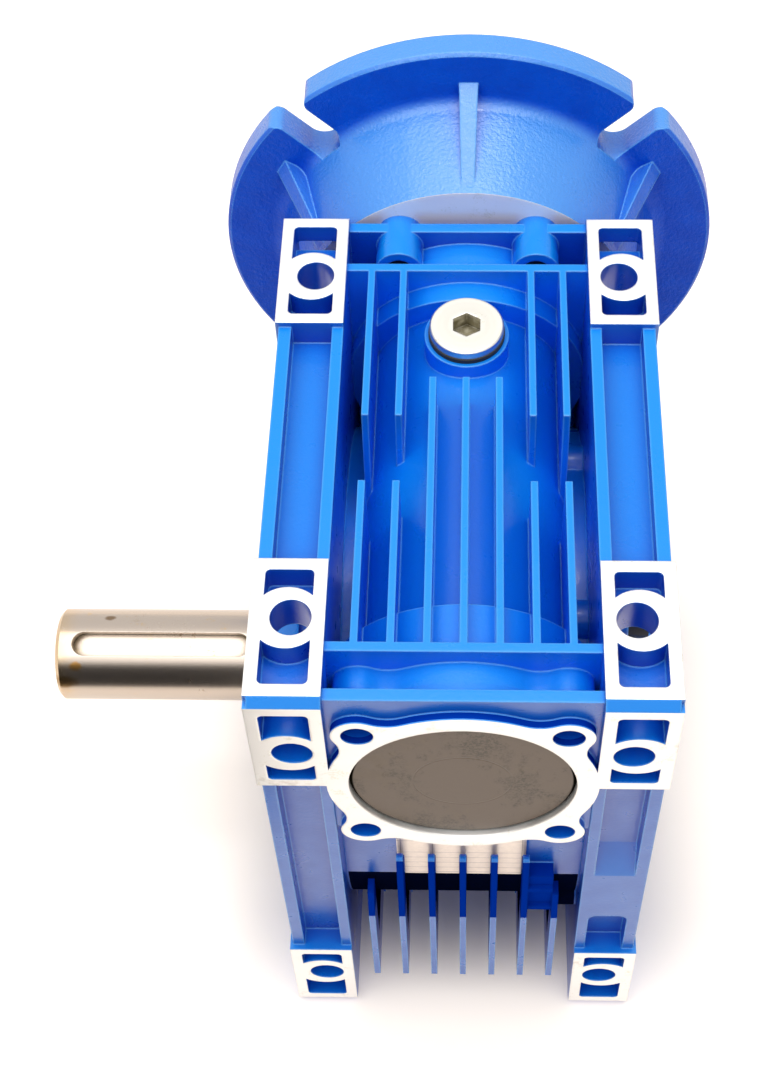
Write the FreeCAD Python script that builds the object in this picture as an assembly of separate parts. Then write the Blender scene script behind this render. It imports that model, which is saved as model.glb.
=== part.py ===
import FreeCAD, Part
import math
import os

from FreeCAD import Vector

os.makedirs("parts", exist_ok=True)

# Worm gear reducer with a plug-in output shaft and a round motor flange, in millimetres.
# The origin is the centre of the bottom foot holes, on the bottom face.
# X runs along the output shaft, which sticks out towards -X.
# Y runs along the worm towards the motor. Z is up.

# Main sizes
centre_distance = 75.0
output_axis_height = 86.0
worm_axis_height = output_axis_height + centre_distance
casing_height = 205.0
casing_length = 172.0
casing_width = 112.0
half_length = casing_length / 2
half_width = casing_width / 2

# Clearances
running_clearance = 0.05
seat_clearance = 0.02
static_clearance = 0.1
cut_through = 1.0
edge_break = 0.5

# Gear pair
module = 4.0
worm_starts = 1
wheel_teeth = 30
worm_diameter_factor = (2 * centre_distance / module) - wheel_teeth
pressure_angle = math.radians(20)
backlash = 0.5
tooth_clearance = 0.2 * module
worm_pitch_radius = module * worm_diameter_factor / 2
wheel_pitch_radius = module * wheel_teeth / 2
worm_tip_radius = worm_pitch_radius + module
worm_root_radius = worm_pitch_radius - module - tooth_clearance
axial_pitch = math.pi * module
worm_thread_length = 5.5 * axial_pitch
wheel_outer_radius = wheel_pitch_radius + 1.5 * module
wheel_rim_width = 32.0
wheel_rim_depth = 16.0
wheel_sections = 7
sweep_angle = 0.6
sweep_steps = 60
gap_root_margin = 0.05

# Wheel hub with the hollow shaft
hollow_length = 120.0
hollow_outer_radius = 25.0
shaft_radius = 15.0
hub_shoulder_radius = 31.0
hub_web_radius = 42.0
hub_web_width = 14.0
hub_rim_seat_width = 24.0
hub_ring_overlap = 2.0
key_width = 8.0
key_height = 7.0
key_hub_depth = 3.3
key_shaft_depth = 4.0
inner_key_length = 50.0
keyway_turn = 18.0
shaft_seam_turn = 60.0

# Output shaft
shaft_stick_out = 70.0
shoulder_radius = 20.0
shoulder_width = 3.5
open_keyway_start = 5.5
open_keyway_length = 58.0
shaft_end_gap = 3.0
shaft_chamfer = 1.2
washer_thickness = 4.0
bolt_radius = 5.0
bolt_length = 26.0
bolt_head_radius = 8.0
bolt_head_height = 6.4
bolt_hole_spare = 2.0

# Bearings: bore radius, outer radius, width, ball radius, number of balls
wheel_bearing = {"bore": hollow_outer_radius, "outer": 40.0, "width": 16.0, "ball": 4.5, "count": 12}
worm_bearing = {"bore": 15.0, "outer": 31.0, "width": 16.0, "ball": 4.75, "count": 9}
race_clearance = 0.25
cage_wall = 2.4
cage_margin = 1.2
race_shoulder = 0.55
near_bearing_y = -60.0
far_bearing_y = 66.0

# Seals and rings
seal_width = 8.0
seal_gap = 2.0
wheel_bearing_outer_end = hollow_length / 2 - seal_width - seal_gap
input_seal_width = 7.0
output_seal_radius = 36.0
seal_case = 1.5
seal_lip_rise = 2.0
seal_step = 2 * seal_case
circlip_width = 2.0
circlip_depth = 1.5
circlip_reach = 4.5
circlip_groove_room = 0.2
circlip_gap = 8.0
circlip_eye_radius = 2.6
circlip_eye_hole = 1.2
circlip_eye_inset = 0.6

# Worm shaft
collar_radius = 18.0
collar_length = 8.0
neck_radius = 12.5
input_end_y = 120.0
input_bore_radius = 7.0
input_bore_depth = 42.0
input_key_width = 5.0
input_key_rise = 2.3
near_journal_overrun = 1.0

# Casing walls
side_plate_inner = 36.0
side_plate_wall = 3.3
side_plate_outer = side_plate_inner + side_plate_wall
cast_setback = 2.0
side_setback = 1.0
wheel_housing_radius = 76.0
chamber_radius = 68.5
chamber_half_width = 31.0
worm_housing_radius = 30.0
worm_chamber_radius = 24.0
near_boss_radius = 37.0
far_boss_radius = 37.0
near_boss_depth = 35.0
far_boss_depth = 29.0
end_wall = 3.5
end_wall_setback = 2.5
cross_rib_near = 66.0
cross_rib_far = 64.0
cross_rib_wall = 2.8
front_wall = 5.0

# Corner pads with bolt holes
pad_width = half_width - side_plate_inner
pad_start = 2.5
pad_reach = 44.5
pad_plate = 12.0
bolt_inset = 26.0
bolt_spacing_x = 90.0
bolt_hole_radius = 5.5
pocket_rim = 3.5
pocket_ring_radius = 9.4
pocket_depth = 8.0
pocket_corner = 1.5

# Edge beams between the corner pads
beam_channel = 7.0
beam_channel_shallow = 5.5
beam_web = 3.0
beam_rib = 3.7
bridge_low = 70.0
bridge_high = 100.0
bridge_slope = 12.0
bridge_corner = 3.0

# Cooling ribs
rib_pitch = 9.5
rib_wall = 2.0
rib_count = 7
near_rib_end = -14.0
far_rib_slope = 10.0
middle_rib_end = 23.0
far_rib_start = 9.0
fin_low = 20.0
fin_break = 68.0
fin_tip_y = 79.8
fin_tip_z = 101.5
fin_tip_radius = 1.5
fin_tip_low = 84.0
outer_fin_y = 81.5
outer_fin_top = 80.0
fin_block_width = 7.6
fin_block_y = 81.0
fin_block_low = 71.0
fin_block_high = 92.0
fin_block_lip = 2.0
fin_block_lip_reach = 1.5
fin_block_ridge = 84.0
bottom_rib_half_length = 48.0
bottom_rib_gap = 5.0
bottom_rib_places = (-3, -2, 2, 3)

# End ring round the cap
end_cap_radius = 31.0
end_cap_recess = 1.6
end_cap_depth = 9.0
end_cap_wall = 2.0
end_cap_edge = 1.0
lug_offset = 27.5
lug_angles = (45, 135, 225, 315)
lug_radius = 7.0
lug_hole_radius = 4.3
lug_hole_depth = 16.0
web_fillet = 9.0

# Oil plugs
plug_y = 45.0
plug_boss_top = worm_axis_height + worm_housing_radius + 5.0
plug_boss_radius = 12.5
plug_head_radius = 11.0
plug_head_height = 3.0
plug_washer_height = 1.5
plug_washer_margin = 0.3
plug_stem_radius = 7.0
plug_stem_length = 10.0
plug_hex = 8.0
plug_hex_depth = 5.0
drain_boss_height = 3.0

# Output side faces
pilot_radius = 47.5
hub_face = hollow_length / 2
pilot_height = 3.0
side_face = hub_face - pilot_height
side_face_radius = 68.0
side_face_wall = 8.0
tapped_circle_radius = 57.5
tapped_hole_radius = 4.0
tapped_hole_depth = 14.0
tapped_boss_radius = 8.0
tapped_count = 8
tapped_start = 22.5

# Side cover
cover_flange = 8.0
cover_flange_radius = 72.5
cover_screw_circle = 74.0
cover_ear_radius = 6.0
cover_screw_count = 8
cover_screw_start = 22.5
cover_screw_hex = 5.0
cover_web_flare = 4.0
cover_face_step = 1.0
cover_face_flare = 3.0
cover_wall = 7.0
cover_screw_radius = 3.0
cover_screw_length = 16.0
cover_screw_head_radius = 5.0
cover_screw_head_height = 6.0
cover_pilot_wall = 5.0
cover_ring_section = 1.5

# Motor flange
flange_radius = 80.0
flange_face_y = 126.0
flange_plate = 10.0
bell_small_radius = 52.5
bell_large_radius = 62.0
bell_back = 8.0
bell_fillet = 5.0
motor_pilot_radius = 55.0
motor_pilot_depth = 4.0
motor_pilot_step = 2.0
flange_hole_radius = 19.0
spigot_radius = 35.0
spigot_length = 3.0
flange_slot_circle = 65.0
flange_slot_width = 11.5
flange_slot_count = 4
flange_rib_count = 6
flange_rib_wall = 5.8
flange_rib_inner_wall = 3.5
flange_rib_tip_radius = 69.0
flange_screw_circle = 41.5
flange_screw_angles = (60, 120, 240, 300)
flange_screw_radius = 4.0
flange_screw_length = 20.0
flange_screw_head_radius = 6.5
flange_screw_head_height = 8.0
flange_boss_radius = 7.0
flange_boss_length = 16.0
flange_screw_hex = 6.0
flange_edge = 1.0
flange_rib_root = 2.0
bell_taper = 3.0
slot_relief = 3.0
slot_start = 45.0
slot_mouth_radius = 3.5
spigot_ring_section = 1.0


# Basic shapes
def box(x0, x1, y0, y1, z0, z1):
    corner = Vector(min(x0, x1), min(y0, y1), min(z0, z1))
    return Part.makeBox(abs(x1 - x0), abs(y1 - y0), abs(z1 - z0), corner)


def rod_x(radius, x0, x1, y=0.0, z=output_axis_height):
    return Part.makeCylinder(radius, abs(x1 - x0), Vector(min(x0, x1), y, z), Vector(1, 0, 0))


def rod_y(radius, y0, y1, x=0.0, z=worm_axis_height):
    return Part.makeCylinder(radius, abs(y1 - y0), Vector(x, min(y0, y1), z), Vector(0, 1, 0))


def rod_z(radius, z0, z1, x=0.0, y=0.0):
    return Part.makeCylinder(radius, abs(z1 - z0), Vector(x, y, min(z0, z1)), Vector(0, 0, 1))


def revolve_x(points, z=output_axis_height):
    """Turned shape round the output axis from (x, radius) points."""
    corners = [Vector(x, 0, z + radius) for x, radius in points]
    face = Part.Face(Part.makePolygon(corners + corners[:1]))
    return face.revolve(Vector(0, 0, z), Vector(1, 0, 0), 360)


def revolve_y(points, z=worm_axis_height):
    """Turned shape round the worm axis from (y, radius) points."""
    corners = [Vector(0, y, z + radius) for y, radius in points]
    face = Part.Face(Part.makePolygon(corners + corners[:1]))
    return face.revolve(Vector(0, 0, z), Vector(0, 1, 0), 360)


def plate_yz(points, x0, x1):
    """Flat plate with a (y, z) outline, between two places on X."""
    corners = [Vector(x0, y, z) for y, z in points]
    face = Part.Face(Part.makePolygon(corners + corners[:1]))
    return face.extrude(Vector(x1 - x0, 0, 0))


def plate_xz(points, y0, y1):
    """Flat plate with an outline of (x, height over the worm axis), between two places on Y."""
    corners = [Vector(x, y0, worm_axis_height + z) for x, z in points]
    face = Part.Face(Part.makePolygon(corners + corners[:1]))
    return face.extrude(Vector(0, y1 - y0, 0))


def fuse(shapes):
    return shapes[0].multiFuse(shapes[1:]).removeSplitter()


def cut(shape, tools):
    return shape.cut(Part.makeCompound(tools)) if len(tools) == 1 else shape.cut(tools)


def mirror_x(shape):
    return shape.mirror(Vector(0, 0, 0), Vector(1, 0, 0))


def turned_y(shape, degrees):
    """The shape turned about the worm axis, positive from +Z towards +X."""
    copy = shape.copy()
    copy.rotate(Vector(0, 0, worm_axis_height), Vector(0, 1, 0), degrees)
    return copy


def turned_x(shape, degrees):
    copy = shape.copy()
    copy.rotate(Vector(0, 0, output_axis_height), Vector(1, 0, 0), degrees)
    return copy


def circle_places(radius, count, start):
    """Offsets on a circle, at equal steps from the start angle in degrees."""
    steps = [math.radians(start + 360.0 * i / count) for i in range(count)]
    return [(radius * math.cos(a), radius * math.sin(a)) for a in steps]


def hexagon(across_flats, depth, start, along):
    """Hexagonal prism from a start point in a direction."""
    corners = [Vector(a, b, 0) for a, b in circle_places(across_flats / math.sqrt(3), 6, 90)]
    prism = Part.Face(Part.makePolygon(corners + corners[:1])).extrude(Vector(0, 0, depth))
    prism.Placement = FreeCAD.Placement(start, FreeCAD.Rotation(Vector(0, 0, 1), along))
    return prism


# Casing
def pad_pocket_outline(u_low, u_high, width_low, width_high, hole_u):
    """One pocket of a pad as a flat face: u runs along the pad, v across it, hollowed round the hole."""
    corners = [
        Vector(u_low, width_low, 0),
        Vector(u_high, width_low, 0),
        Vector(u_high, width_high, 0),
        Vector(u_low, width_high, 0),
    ]
    face = Part.Face(Part.makePolygon(corners + corners[:1]))
    block = face.extrude(Vector(0, 0, pocket_depth))
    upright = [e for e in block.Edges if abs(e.tangentAt(e.FirstParameter).z) > edge_break]
    block = block.makeFillet(pocket_corner, upright)
    ring = Part.makeCylinder(
        pocket_ring_radius, pocket_depth, Vector(hole_u, (width_low + width_high) / 2, 0), Vector(0, 0, 1)
    )
    return block.cut(ring)


def pad_pockets():
    """Both pockets of one pad: u is the distance from the casing's edge, v is across, depth along +Z."""
    low = pocket_rim
    high = pad_width - pocket_rim
    outer = pad_pocket_outline(pad_start + pocket_rim, bolt_inset, low, high, bolt_inset)
    inner = pad_pocket_outline(bolt_inset, pad_reach - pocket_rim, low, high, bolt_inset)
    return [outer, inner]


def corner_casting():
    """Corner at +X, +Y and top: two plates with pads, pockets and bolt holes."""
    x0 = side_plate_inner
    x1 = half_width
    y = half_length
    z = casing_height
    top = box(x0, x1, y - pad_reach, y - pad_start, z - pad_plate, z)
    front = box(x0, x1, y - pad_plate, y, z - pad_reach, z - pad_start)
    edge = plate_yz(
        [(y - pad_start, z), (y, z - pad_start), (y - pad_plate, z - pad_plate)],
        x0,
        half_width - side_setback,
    )
    hole_x = bolt_spacing_x / 2
    tools = [
        rod_z(bolt_hole_radius, z - pad_plate - cut_through, z + cut_through, hole_x, y - bolt_inset),
        rod_y(bolt_hole_radius, y - pad_plate - cut_through, y + cut_through, hole_x, z - bolt_inset),
    ]
    for pocket in pad_pockets():
        down = pocket.copy()
        # u runs towards -Y from the edge, v along +X, depth down
        down.transformShape(FreeCAD.Matrix(0, 1, 0, x0, -1, 0, 0, y, 0, 0, -1, z, 0, 0, 0, 1))
        inward = pocket.copy()
        # u runs down from the top edge, v along +X, depth towards -Y
        inward.transformShape(FreeCAD.Matrix(0, 1, 0, x0, 0, 0, -1, y, -1, 0, 0, z, 0, 0, 0, 1))
        tools += [down, inward]
    return cut(fuse([top, front, edge]), tools)


def corner_castings():
    corner = corner_casting()
    bottom = corner.mirror(Vector(0, 0, casing_height / 2), Vector(0, 0, 1))
    right = [corner, bottom]
    right += [c.mirror(Vector(0, 0, 0), Vector(0, 1, 0)) for c in right]
    return right + [mirror_x(c) for c in right]


def beam(length_from, length_to, channel):
    """Edge beam lying along Y on the top face at +X, as blocks to fuse."""
    x0 = side_plate_outer
    x1 = half_width - side_setback
    top = casing_height - cast_setback
    floor = top - channel
    return [
        box(x0, x1, length_from, length_to, floor - beam_web, floor),
        box(x1 - beam_rib, x1, length_from, length_to, floor - beam_web, top),
    ]


def upright_beam(z_low, z_high):
    """Edge beam standing on the far face at +X, as blocks to fuse."""
    x0 = side_plate_outer
    x1 = half_width - side_setback
    face = half_length - cast_setback
    floor = face - beam_channel_shallow
    return [
        box(x0, x1, floor - beam_web, floor, z_low, z_high),
        box(x1 - beam_rib, x1, floor - beam_web, face, z_low, z_high),
    ]


def edge_beams():
    reach = half_length - pad_reach
    top = beam(-reach, reach, beam_channel)
    middle = Vector(0, 0, casing_height / 2)
    bottom = [b.mirror(middle, Vector(0, 0, 1)) for b in beam(-reach, reach, beam_channel_shallow)]
    far = upright_beam(pad_reach, casing_height - pad_reach)
    near = [b.mirror(Vector(0, 0, 0), Vector(0, 1, 0)) for b in far]
    right = top + bottom + far + near
    face = -half_length + cast_setback
    x1 = half_width - side_setback
    floor = face + beam_channel_shallow
    bridge = plate_yz(
        [(face, bridge_low), (face, bridge_high), (floor, bridge_high + bridge_slope), (floor, bridge_low)],
        side_plate_outer,
        x1 - beam_rib,
    )
    low = bridge_low - bridge_corner
    corners = []
    for wall_x, side in ((side_plate_outer, 1), (x1 - beam_rib, -1)):
        middle = wall_x + side * bridge_corner
        rounding = rod_y(bridge_corner, face - cut_through, floor + cut_through, middle, low)
        corners.append(box(wall_x, middle, face, floor, low, bridge_low).cut(rounding))
    return right + [mirror_x(b) for b in right] + [bridge] + corners


def side_plates():
    y = half_length - cast_setback
    low = cast_setback
    high = casing_height - cast_setback
    c = pad_start
    outline = [
        (-y, low + c), (-y + c, low), (y - c, low), (y, low + c),
        (y, high - c), (y - c, high), (-y + c, high), (-y, high - c),
    ]
    return [
        plate_yz(outline, side_plate_inner, side_plate_outer),
        plate_yz(outline, -side_plate_outer, -side_plate_inner),
    ]


def end_walls():
    """Walls between the side plates at both ends, with the cross ribs on the top."""
    x = side_plate_inner
    top = casing_height - cast_setback
    low = worm_axis_height - near_boss_radius + lug_radius
    walls = []
    for side, rib_y in ((-1, cross_rib_near), (1, cross_rib_far)):
        outer = side * (half_length - end_wall_setback)
        walls.append(box(-x, x, outer, outer - side * end_wall, low, top))
        walls.append(box(-x, x, side * rib_y, side * (rib_y + cross_rib_wall), worm_axis_height, top))
        front = side * wheel_housing_radius
        walls.append(box(-x, x, front, front - side * front_wall, output_axis_height, low + end_wall))
        walls.append(box(-x, x, front - side * front_wall, outer, low, low + end_wall))
    return walls


def top_ribs():
    top = casing_height - cast_setback
    low = worm_axis_height - worm_pitch_radius
    ribs = []
    for i in range(rib_count):
        x = (i - (rib_count - 1) / 2) * rib_pitch
        x0 = x - rib_wall / 2
        x1 = x + rib_wall / 2
        if abs(x) <= rib_pitch:
            ribs.append(box(x0, x1, -cross_rib_near, middle_rib_end, worm_axis_height, top))
            continue
        near = [(-cross_rib_near, low), (near_rib_end, low), (near_rib_end, top), (-cross_rib_near, top)]
        far_low = (far_rib_start - far_rib_slope, low)
        far = [(cross_rib_far, low), far_low, (far_rib_start, top), (cross_rib_far, top)]
        ribs += [plate_yz(near, x0, x1), plate_yz(far, x0, x1)]
    return ribs


def fin_outline(outer):
    """Side view of an end fin as (y, z): the outer two are lower, the others end in a tip."""
    face = half_length - cast_setback
    root = wheel_housing_radius / 2
    if outer:
        return [
            (face, fin_low), (face, fin_break), (outer_fin_y, outer_fin_top),
            (root, outer_fin_top), (root, fin_low),
        ]
    return [
        (face, fin_low), (face, fin_break), (fin_tip_y + fin_tip_radius, fin_tip_z),
        (fin_tip_y - fin_tip_radius, fin_tip_z), (fin_tip_y - fin_tip_radius, fin_tip_low),
        (root, fin_tip_low), (root, fin_low),
    ]


def end_fins():
    """Upright fins on the wheel housing below both ends of the worm."""
    fins = []
    for i in range(rib_count):
        x = (i - (rib_count - 1) / 2) * rib_pitch
        outer = i in (0, rib_count - 1)
        for side in (-1, 1):
            points = [(side * y, z) for y, z in fin_outline(outer)]
            fins.append(plate_yz(points, x - rib_wall / 2, x + rib_wall / 2))
            if not outer:
                tip_y = side * fin_tip_y
                fins.append(rod_x(fin_tip_radius, x - rib_wall / 2, x + rib_wall / 2, tip_y, fin_tip_z))
    return fins


def fin_block():
    """Cast block between two fins at the near end, with a ridge and a lip."""
    middle = (rib_count - 2) * rib_pitch / 2
    x0 = middle - fin_block_width / 2
    x1 = middle + fin_block_width / 2
    root = -wheel_housing_radius + front_wall
    lip = -fin_block_y - fin_block_lip_reach
    blocks = [box(x0, x1, -fin_block_y, root, fin_block_low, fin_block_high)]
    for z in (fin_block_low, fin_block_ridge):
        blocks.append(box(x0, x1, lip, root, z, z + fin_block_lip))
    return blocks


def bottom_ribs():
    low = bottom_rib_gap
    high = output_axis_height - chamber_radius
    y = bottom_rib_half_length
    spots = [rib_pitch * i for i in bottom_rib_places]
    return [box(x - rib_wall / 2, x + rib_wall / 2, -y, y, low, high + rib_pitch) for x in spots]


def output_side():
    """Cast hub at -X: the machined face for an output flange, with bosses for its screws."""
    ring = revolve_x([
        (-side_face, pilot_radius), (-side_face, side_face_radius),
        (-side_face + side_face_wall, side_face_radius), (-side_face + side_face_wall, pilot_radius),
    ])
    hub = rod_x(pilot_radius, -hub_face, -chamber_half_width)
    bosses = [
        rod_x(tapped_boss_radius, -side_face, -side_plate_inner, a, output_axis_height + b)
        for a, b in circle_places(tapped_circle_radius, tapped_count, tapped_start)
    ]
    return [ring, hub] + bosses


def output_side_holes():
    start = -side_face - cut_through
    end = -side_face + tapped_hole_depth
    return [
        rod_x(tapped_hole_radius, start, end, a, output_axis_height + b)
        for a, b in circle_places(tapped_circle_radius, tapped_count, tapped_start)
    ]


def worm_housing():
    ends = [
        rod_y(near_boss_radius, -half_length, -half_length + near_boss_depth),
        rod_y(far_boss_radius, half_length - far_boss_depth, half_length),
    ]
    middle = rod_y(worm_housing_radius, -half_length + near_boss_depth, half_length - far_boss_depth)
    lugs = [
        rod_y(lug_radius, -half_length, -cross_rib_near, sx * lug_offset, worm_axis_height + sz * lug_offset)
        for sx in (-1, 1)
        for sz in (-1, 1)
    ]
    boss = rod_y(flange_boss_radius, half_length - flange_boss_length, half_length, flange_screw_circle)
    bosses = [turned_y(boss, angle) for angle in flange_screw_angles]
    plug_boss = rod_z(plug_boss_radius, worm_axis_height, plug_boss_top, 0, plug_y)
    return ends + [middle] + lugs + bosses + [plug_boss]


def lug_webs():
    """Hollow fillets between the end ring and its lugs."""
    reach = math.hypot(lug_offset, lug_offset)
    ring_side = near_boss_radius + web_fillet
    lug_side = lug_radius + web_fillet
    turn = math.acos((reach ** 2 + ring_side ** 2 - lug_side ** 2) / (2 * reach * ring_side))
    middle = (ring_side * math.sin(turn), ring_side * math.cos(turn))
    foot = (near_boss_radius * math.sin(turn), near_boss_radius * math.cos(turn))
    share = lug_radius / lug_side
    top = (middle[0] * share, reach + (middle[1] - reach) * share)
    start = -half_length
    web = plate_xz([(0, worm_bearing["outer"]), foot, middle, top, (0, reach)], start, -cross_rib_near)
    hollow = rod_y(web_fillet, start - cut_through, cut_through, middle[0], worm_axis_height + middle[1])
    web = web.cut(hollow)
    both = [web, mirror_x(web)]
    return [turned_y(w, angle) for w in both for angle in lug_angles]


def drain_boss_bottom():
    return output_axis_height - wheel_housing_radius - drain_boss_height


def cover_screw_places():
    return circle_places(cover_screw_circle, cover_screw_count, cover_screw_start)


def casing_cuts():
    """Everything machined or cored out of the casing."""
    near_bore_end = near_bearing_y + worm_bearing["width"] / 2
    far_bore_start = far_bearing_y - worm_bearing["width"] / 2
    bearing_radius = worm_bearing["outer"]
    groove = bearing_radius + circlip_depth
    near_groove = near_bearing_y - worm_bearing["width"] / 2
    far_groove = far_bearing_y + worm_bearing["width"] / 2
    bearing_inner_end = wheel_bearing_outer_end - wheel_bearing["width"]
    cuts = [
        rod_x(chamber_radius, -chamber_half_width, side_plate_outer + cut_through),
        rod_x(wheel_bearing["outer"], -wheel_bearing_outer_end, -chamber_half_width + cut_through),
        rod_x(output_seal_radius - seal_step, -hub_face, -bearing_inner_end),
        rod_x(output_seal_radius, -hub_face - cut_through, -hub_face + seal_width),
        rod_y(bearing_radius, -half_length - cut_through, near_bore_end),
        rod_y(worm_chamber_radius, near_bore_end - cut_through, far_bore_start + cut_through),
        rod_y(bearing_radius, far_bore_start, half_length + cut_through),
        rod_y(spigot_radius + static_clearance, half_length - spigot_length, half_length + cut_through),
        rod_y(groove, near_groove - circlip_width, near_groove),
        rod_y(groove, far_groove, far_groove + circlip_width),
        rod_z(plug_stem_radius + static_clearance, worm_axis_height, plug_boss_top + cut_through, 0, plug_y),
        rod_z(plug_stem_radius + static_clearance, drain_boss_bottom() - cut_through, output_axis_height),
    ]
    for sx in (-1, 1):
        for sz in (-1, 1):
            x = sx * lug_offset
            z = worm_axis_height + sz * lug_offset
            start = -half_length - cut_through
            cuts.append(rod_y(lug_hole_radius, start, -half_length + lug_hole_depth, x, z))
    screw_end = half_length - flange_boss_length - cut_through
    screw_hole_radius = flange_screw_radius + static_clearance
    hole = rod_y(screw_hole_radius, screw_end, half_length + cut_through, flange_screw_circle)
    cuts += [turned_y(hole, angle) for angle in flange_screw_angles]
    for a, b in cover_screw_places():
        end = side_plate_outer + cover_flange - cover_screw_length - static_clearance
        radius = cover_screw_radius + static_clearance
        cuts.append(rod_x(radius, end, side_plate_outer + cut_through, a, output_axis_height + b))
    return cuts + output_side_holes()


def casing_body():
    """The whole casting before it is divided into its three nodes."""
    cover_seat = [
        rod_x(cover_ear_radius, side_plate_inner / 2, side_plate_outer, a, output_axis_height + b)
        for a, b in cover_screw_places()
    ]
    drain_boss = rod_z(plug_boss_radius, drain_boss_bottom(), output_axis_height)
    groups = [
        side_plates(), worm_housing(), lug_webs(), end_walls(), top_ribs(), end_fins(), fin_block(),
        bottom_ribs(), output_side(), [drain_boss], edge_beams(), corner_castings(), cover_seat,
    ]
    body = rod_x(wheel_housing_radius, -side_plate_inner, side_plate_outer)
    for group in groups:
        body = body.multiFuse(group)
    return body.cut(casing_cuts())


def casing_nodes():
    """The casting as the middle and its two sides, which meet at the inner faces of the side plates."""
    body = casing_body()
    inner = side_plate_inner
    outer = half_width + hub_face
    half = half_length + cut_through
    top = casing_height + cut_through
    return {
        "casing": body.common(box(-inner, inner, -half, half, -cut_through, top)),
        "casing_left_side": body.common(box(-outer, -inner, -half, half, -cut_through, top)),
        "casing_right_side": body.common(box(inner, outer, -half, half, -cut_through, top)),
    }


# Gear pair
def thread_half_width(radius):
    """Half the axial thickness of the worm thread at a radius."""
    at_pitch = (axial_pitch / 2 - backlash) / 2
    return at_pitch - (radius - worm_pitch_radius) * math.tan(pressure_angle)


def worm_thread():
    """Trapezium carried along a helix round the worm axis, with a crest facing the wheel at mid length."""
    turns = worm_thread_length / axial_pitch
    root = worm_root_radius - cut_through
    low = thread_half_width(root)
    high = thread_half_width(worm_tip_radius)
    tip = worm_tip_radius
    corners = [Vector(root, 0, -low), Vector(tip, 0, -high), Vector(tip, 0, high), Vector(root, 0, low)]
    path = Part.makeHelix(axial_pitch * worm_starts, worm_thread_length, worm_pitch_radius)
    thread = Part.Wire(path).makePipeShell([Part.makePolygon(corners + corners[:1])], True, True)
    thread.translate(Vector(0, 0, -worm_thread_length / 2))
    thread.rotate(Vector(0, 0, 0), Vector(0, 0, 1), 90 - 180 * turns)
    thread.rotate(Vector(0, 0, 0), Vector(1, 0, 0), -90)
    thread.translate(Vector(0, 0, worm_axis_height))
    return thread


def thread_run_out(side):
    """What is turned off one end of the thread: a cone down to the neck, then everything past its end."""
    end = side * worm_thread_length / 2
    start = end - side * module
    past = end + side * 2 * axial_pitch
    high = worm_tip_radius + cut_through
    low = neck_radius + static_clearance
    crest = worm_tip_radius + seat_clearance
    return revolve_y([(start, crest), (start, high), (past, high), (past, 0), (end, 0), (end, low)])


def worm_screw():
    """Threaded length of the worm shaft."""
    reach = worm_thread_length / 2 + axial_pitch
    screw = rod_y(worm_root_radius, -reach, reach).fuse(worm_thread())
    return screw.cut(thread_run_out(-1)).cut(thread_run_out(1))


def worm_shaft():
    near_end = near_bearing_y - worm_bearing["width"] / 2 - near_journal_overrun
    near_collar = near_bearing_y + worm_bearing["width"] / 2
    far_collar = far_bearing_y - worm_bearing["width"] / 2
    journal = worm_bearing["bore"]
    half_thread = worm_thread_length / 2
    chamfer = shaft_chamfer
    near_side = revolve_y([
        (near_end, 0), (near_end, journal - chamfer), (near_end + chamfer, journal),
        (near_collar, journal), (near_collar, collar_radius),
        (near_collar + collar_length, collar_radius), (near_collar + collar_length, neck_radius),
        (-half_thread, neck_radius), (-half_thread, 0),
    ])
    far_side = revolve_y([
        (half_thread, 0), (half_thread, neck_radius),
        (far_collar - collar_length, neck_radius), (far_collar - collar_length, collar_radius),
        (far_collar, collar_radius), (far_collar, journal),
        (input_end_y - chamfer, journal), (input_end_y, journal - chamfer), (input_end_y, 0),
    ])
    bottom = input_end_y - input_bore_depth
    mouth = input_end_y + cut_through
    bore = rod_y(input_bore_radius, bottom, mouth)
    key_top = worm_axis_height + input_bore_radius + input_key_rise
    keyway = box(-input_key_width / 2, input_key_width / 2, bottom, mouth, worm_axis_height, key_top)
    return worm_screw().multiFuse([near_side, far_side]).cut([bore, keyway])


def gap_edges(x, radius):
    """Lowest and highest wheel angle swept by the worm thread, in the plane at x and at a wheel radius."""
    low = math.inf
    high = -math.inf
    for i in range(sweep_steps + 1):
        turn = sweep_angle * (2 * i / sweep_steps - 1)
        drop = centre_distance - radius * math.cos(turn)
        worm_radius = math.hypot(x, drop)
        if worm_radius > worm_tip_radius + tooth_clearance:
            continue
        lead = axial_pitch * worm_starts * math.atan2(x, drop) / (2 * math.pi)
        middle = radius * math.sin(turn) + lead
        width = thread_half_width(worm_radius) + backlash / 2
        low = min(low, turn - (middle + width) / wheel_pitch_radius)
        high = max(high, turn - (middle - width) / wheel_pitch_radius)
    return low, high


def gap_section(x):
    """Outline of one tooth gap in the plane at x, from the root out past the rim."""
    reach = worm_tip_radius + tooth_clearance
    root = centre_distance - math.sqrt(reach ** 2 - x ** 2) + gap_root_margin
    outside = wheel_outer_radius
    lows = []
    highs = []
    for radius in (root, (root + outside) / 2, outside):
        low, high = gap_edges(x, radius)
        lows.append((radius, low))
        highs.append((radius, high))
    lows.append((outside + module, lows[-1][1]))
    highs.append((outside + module, highs[-1][1]))
    outline = lows + highs[::-1]
    corners = [Vector(x, r * math.sin(a), output_axis_height + r * math.cos(a)) for r, a in outline]
    return Part.makePolygon(corners + corners[:1])


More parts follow.
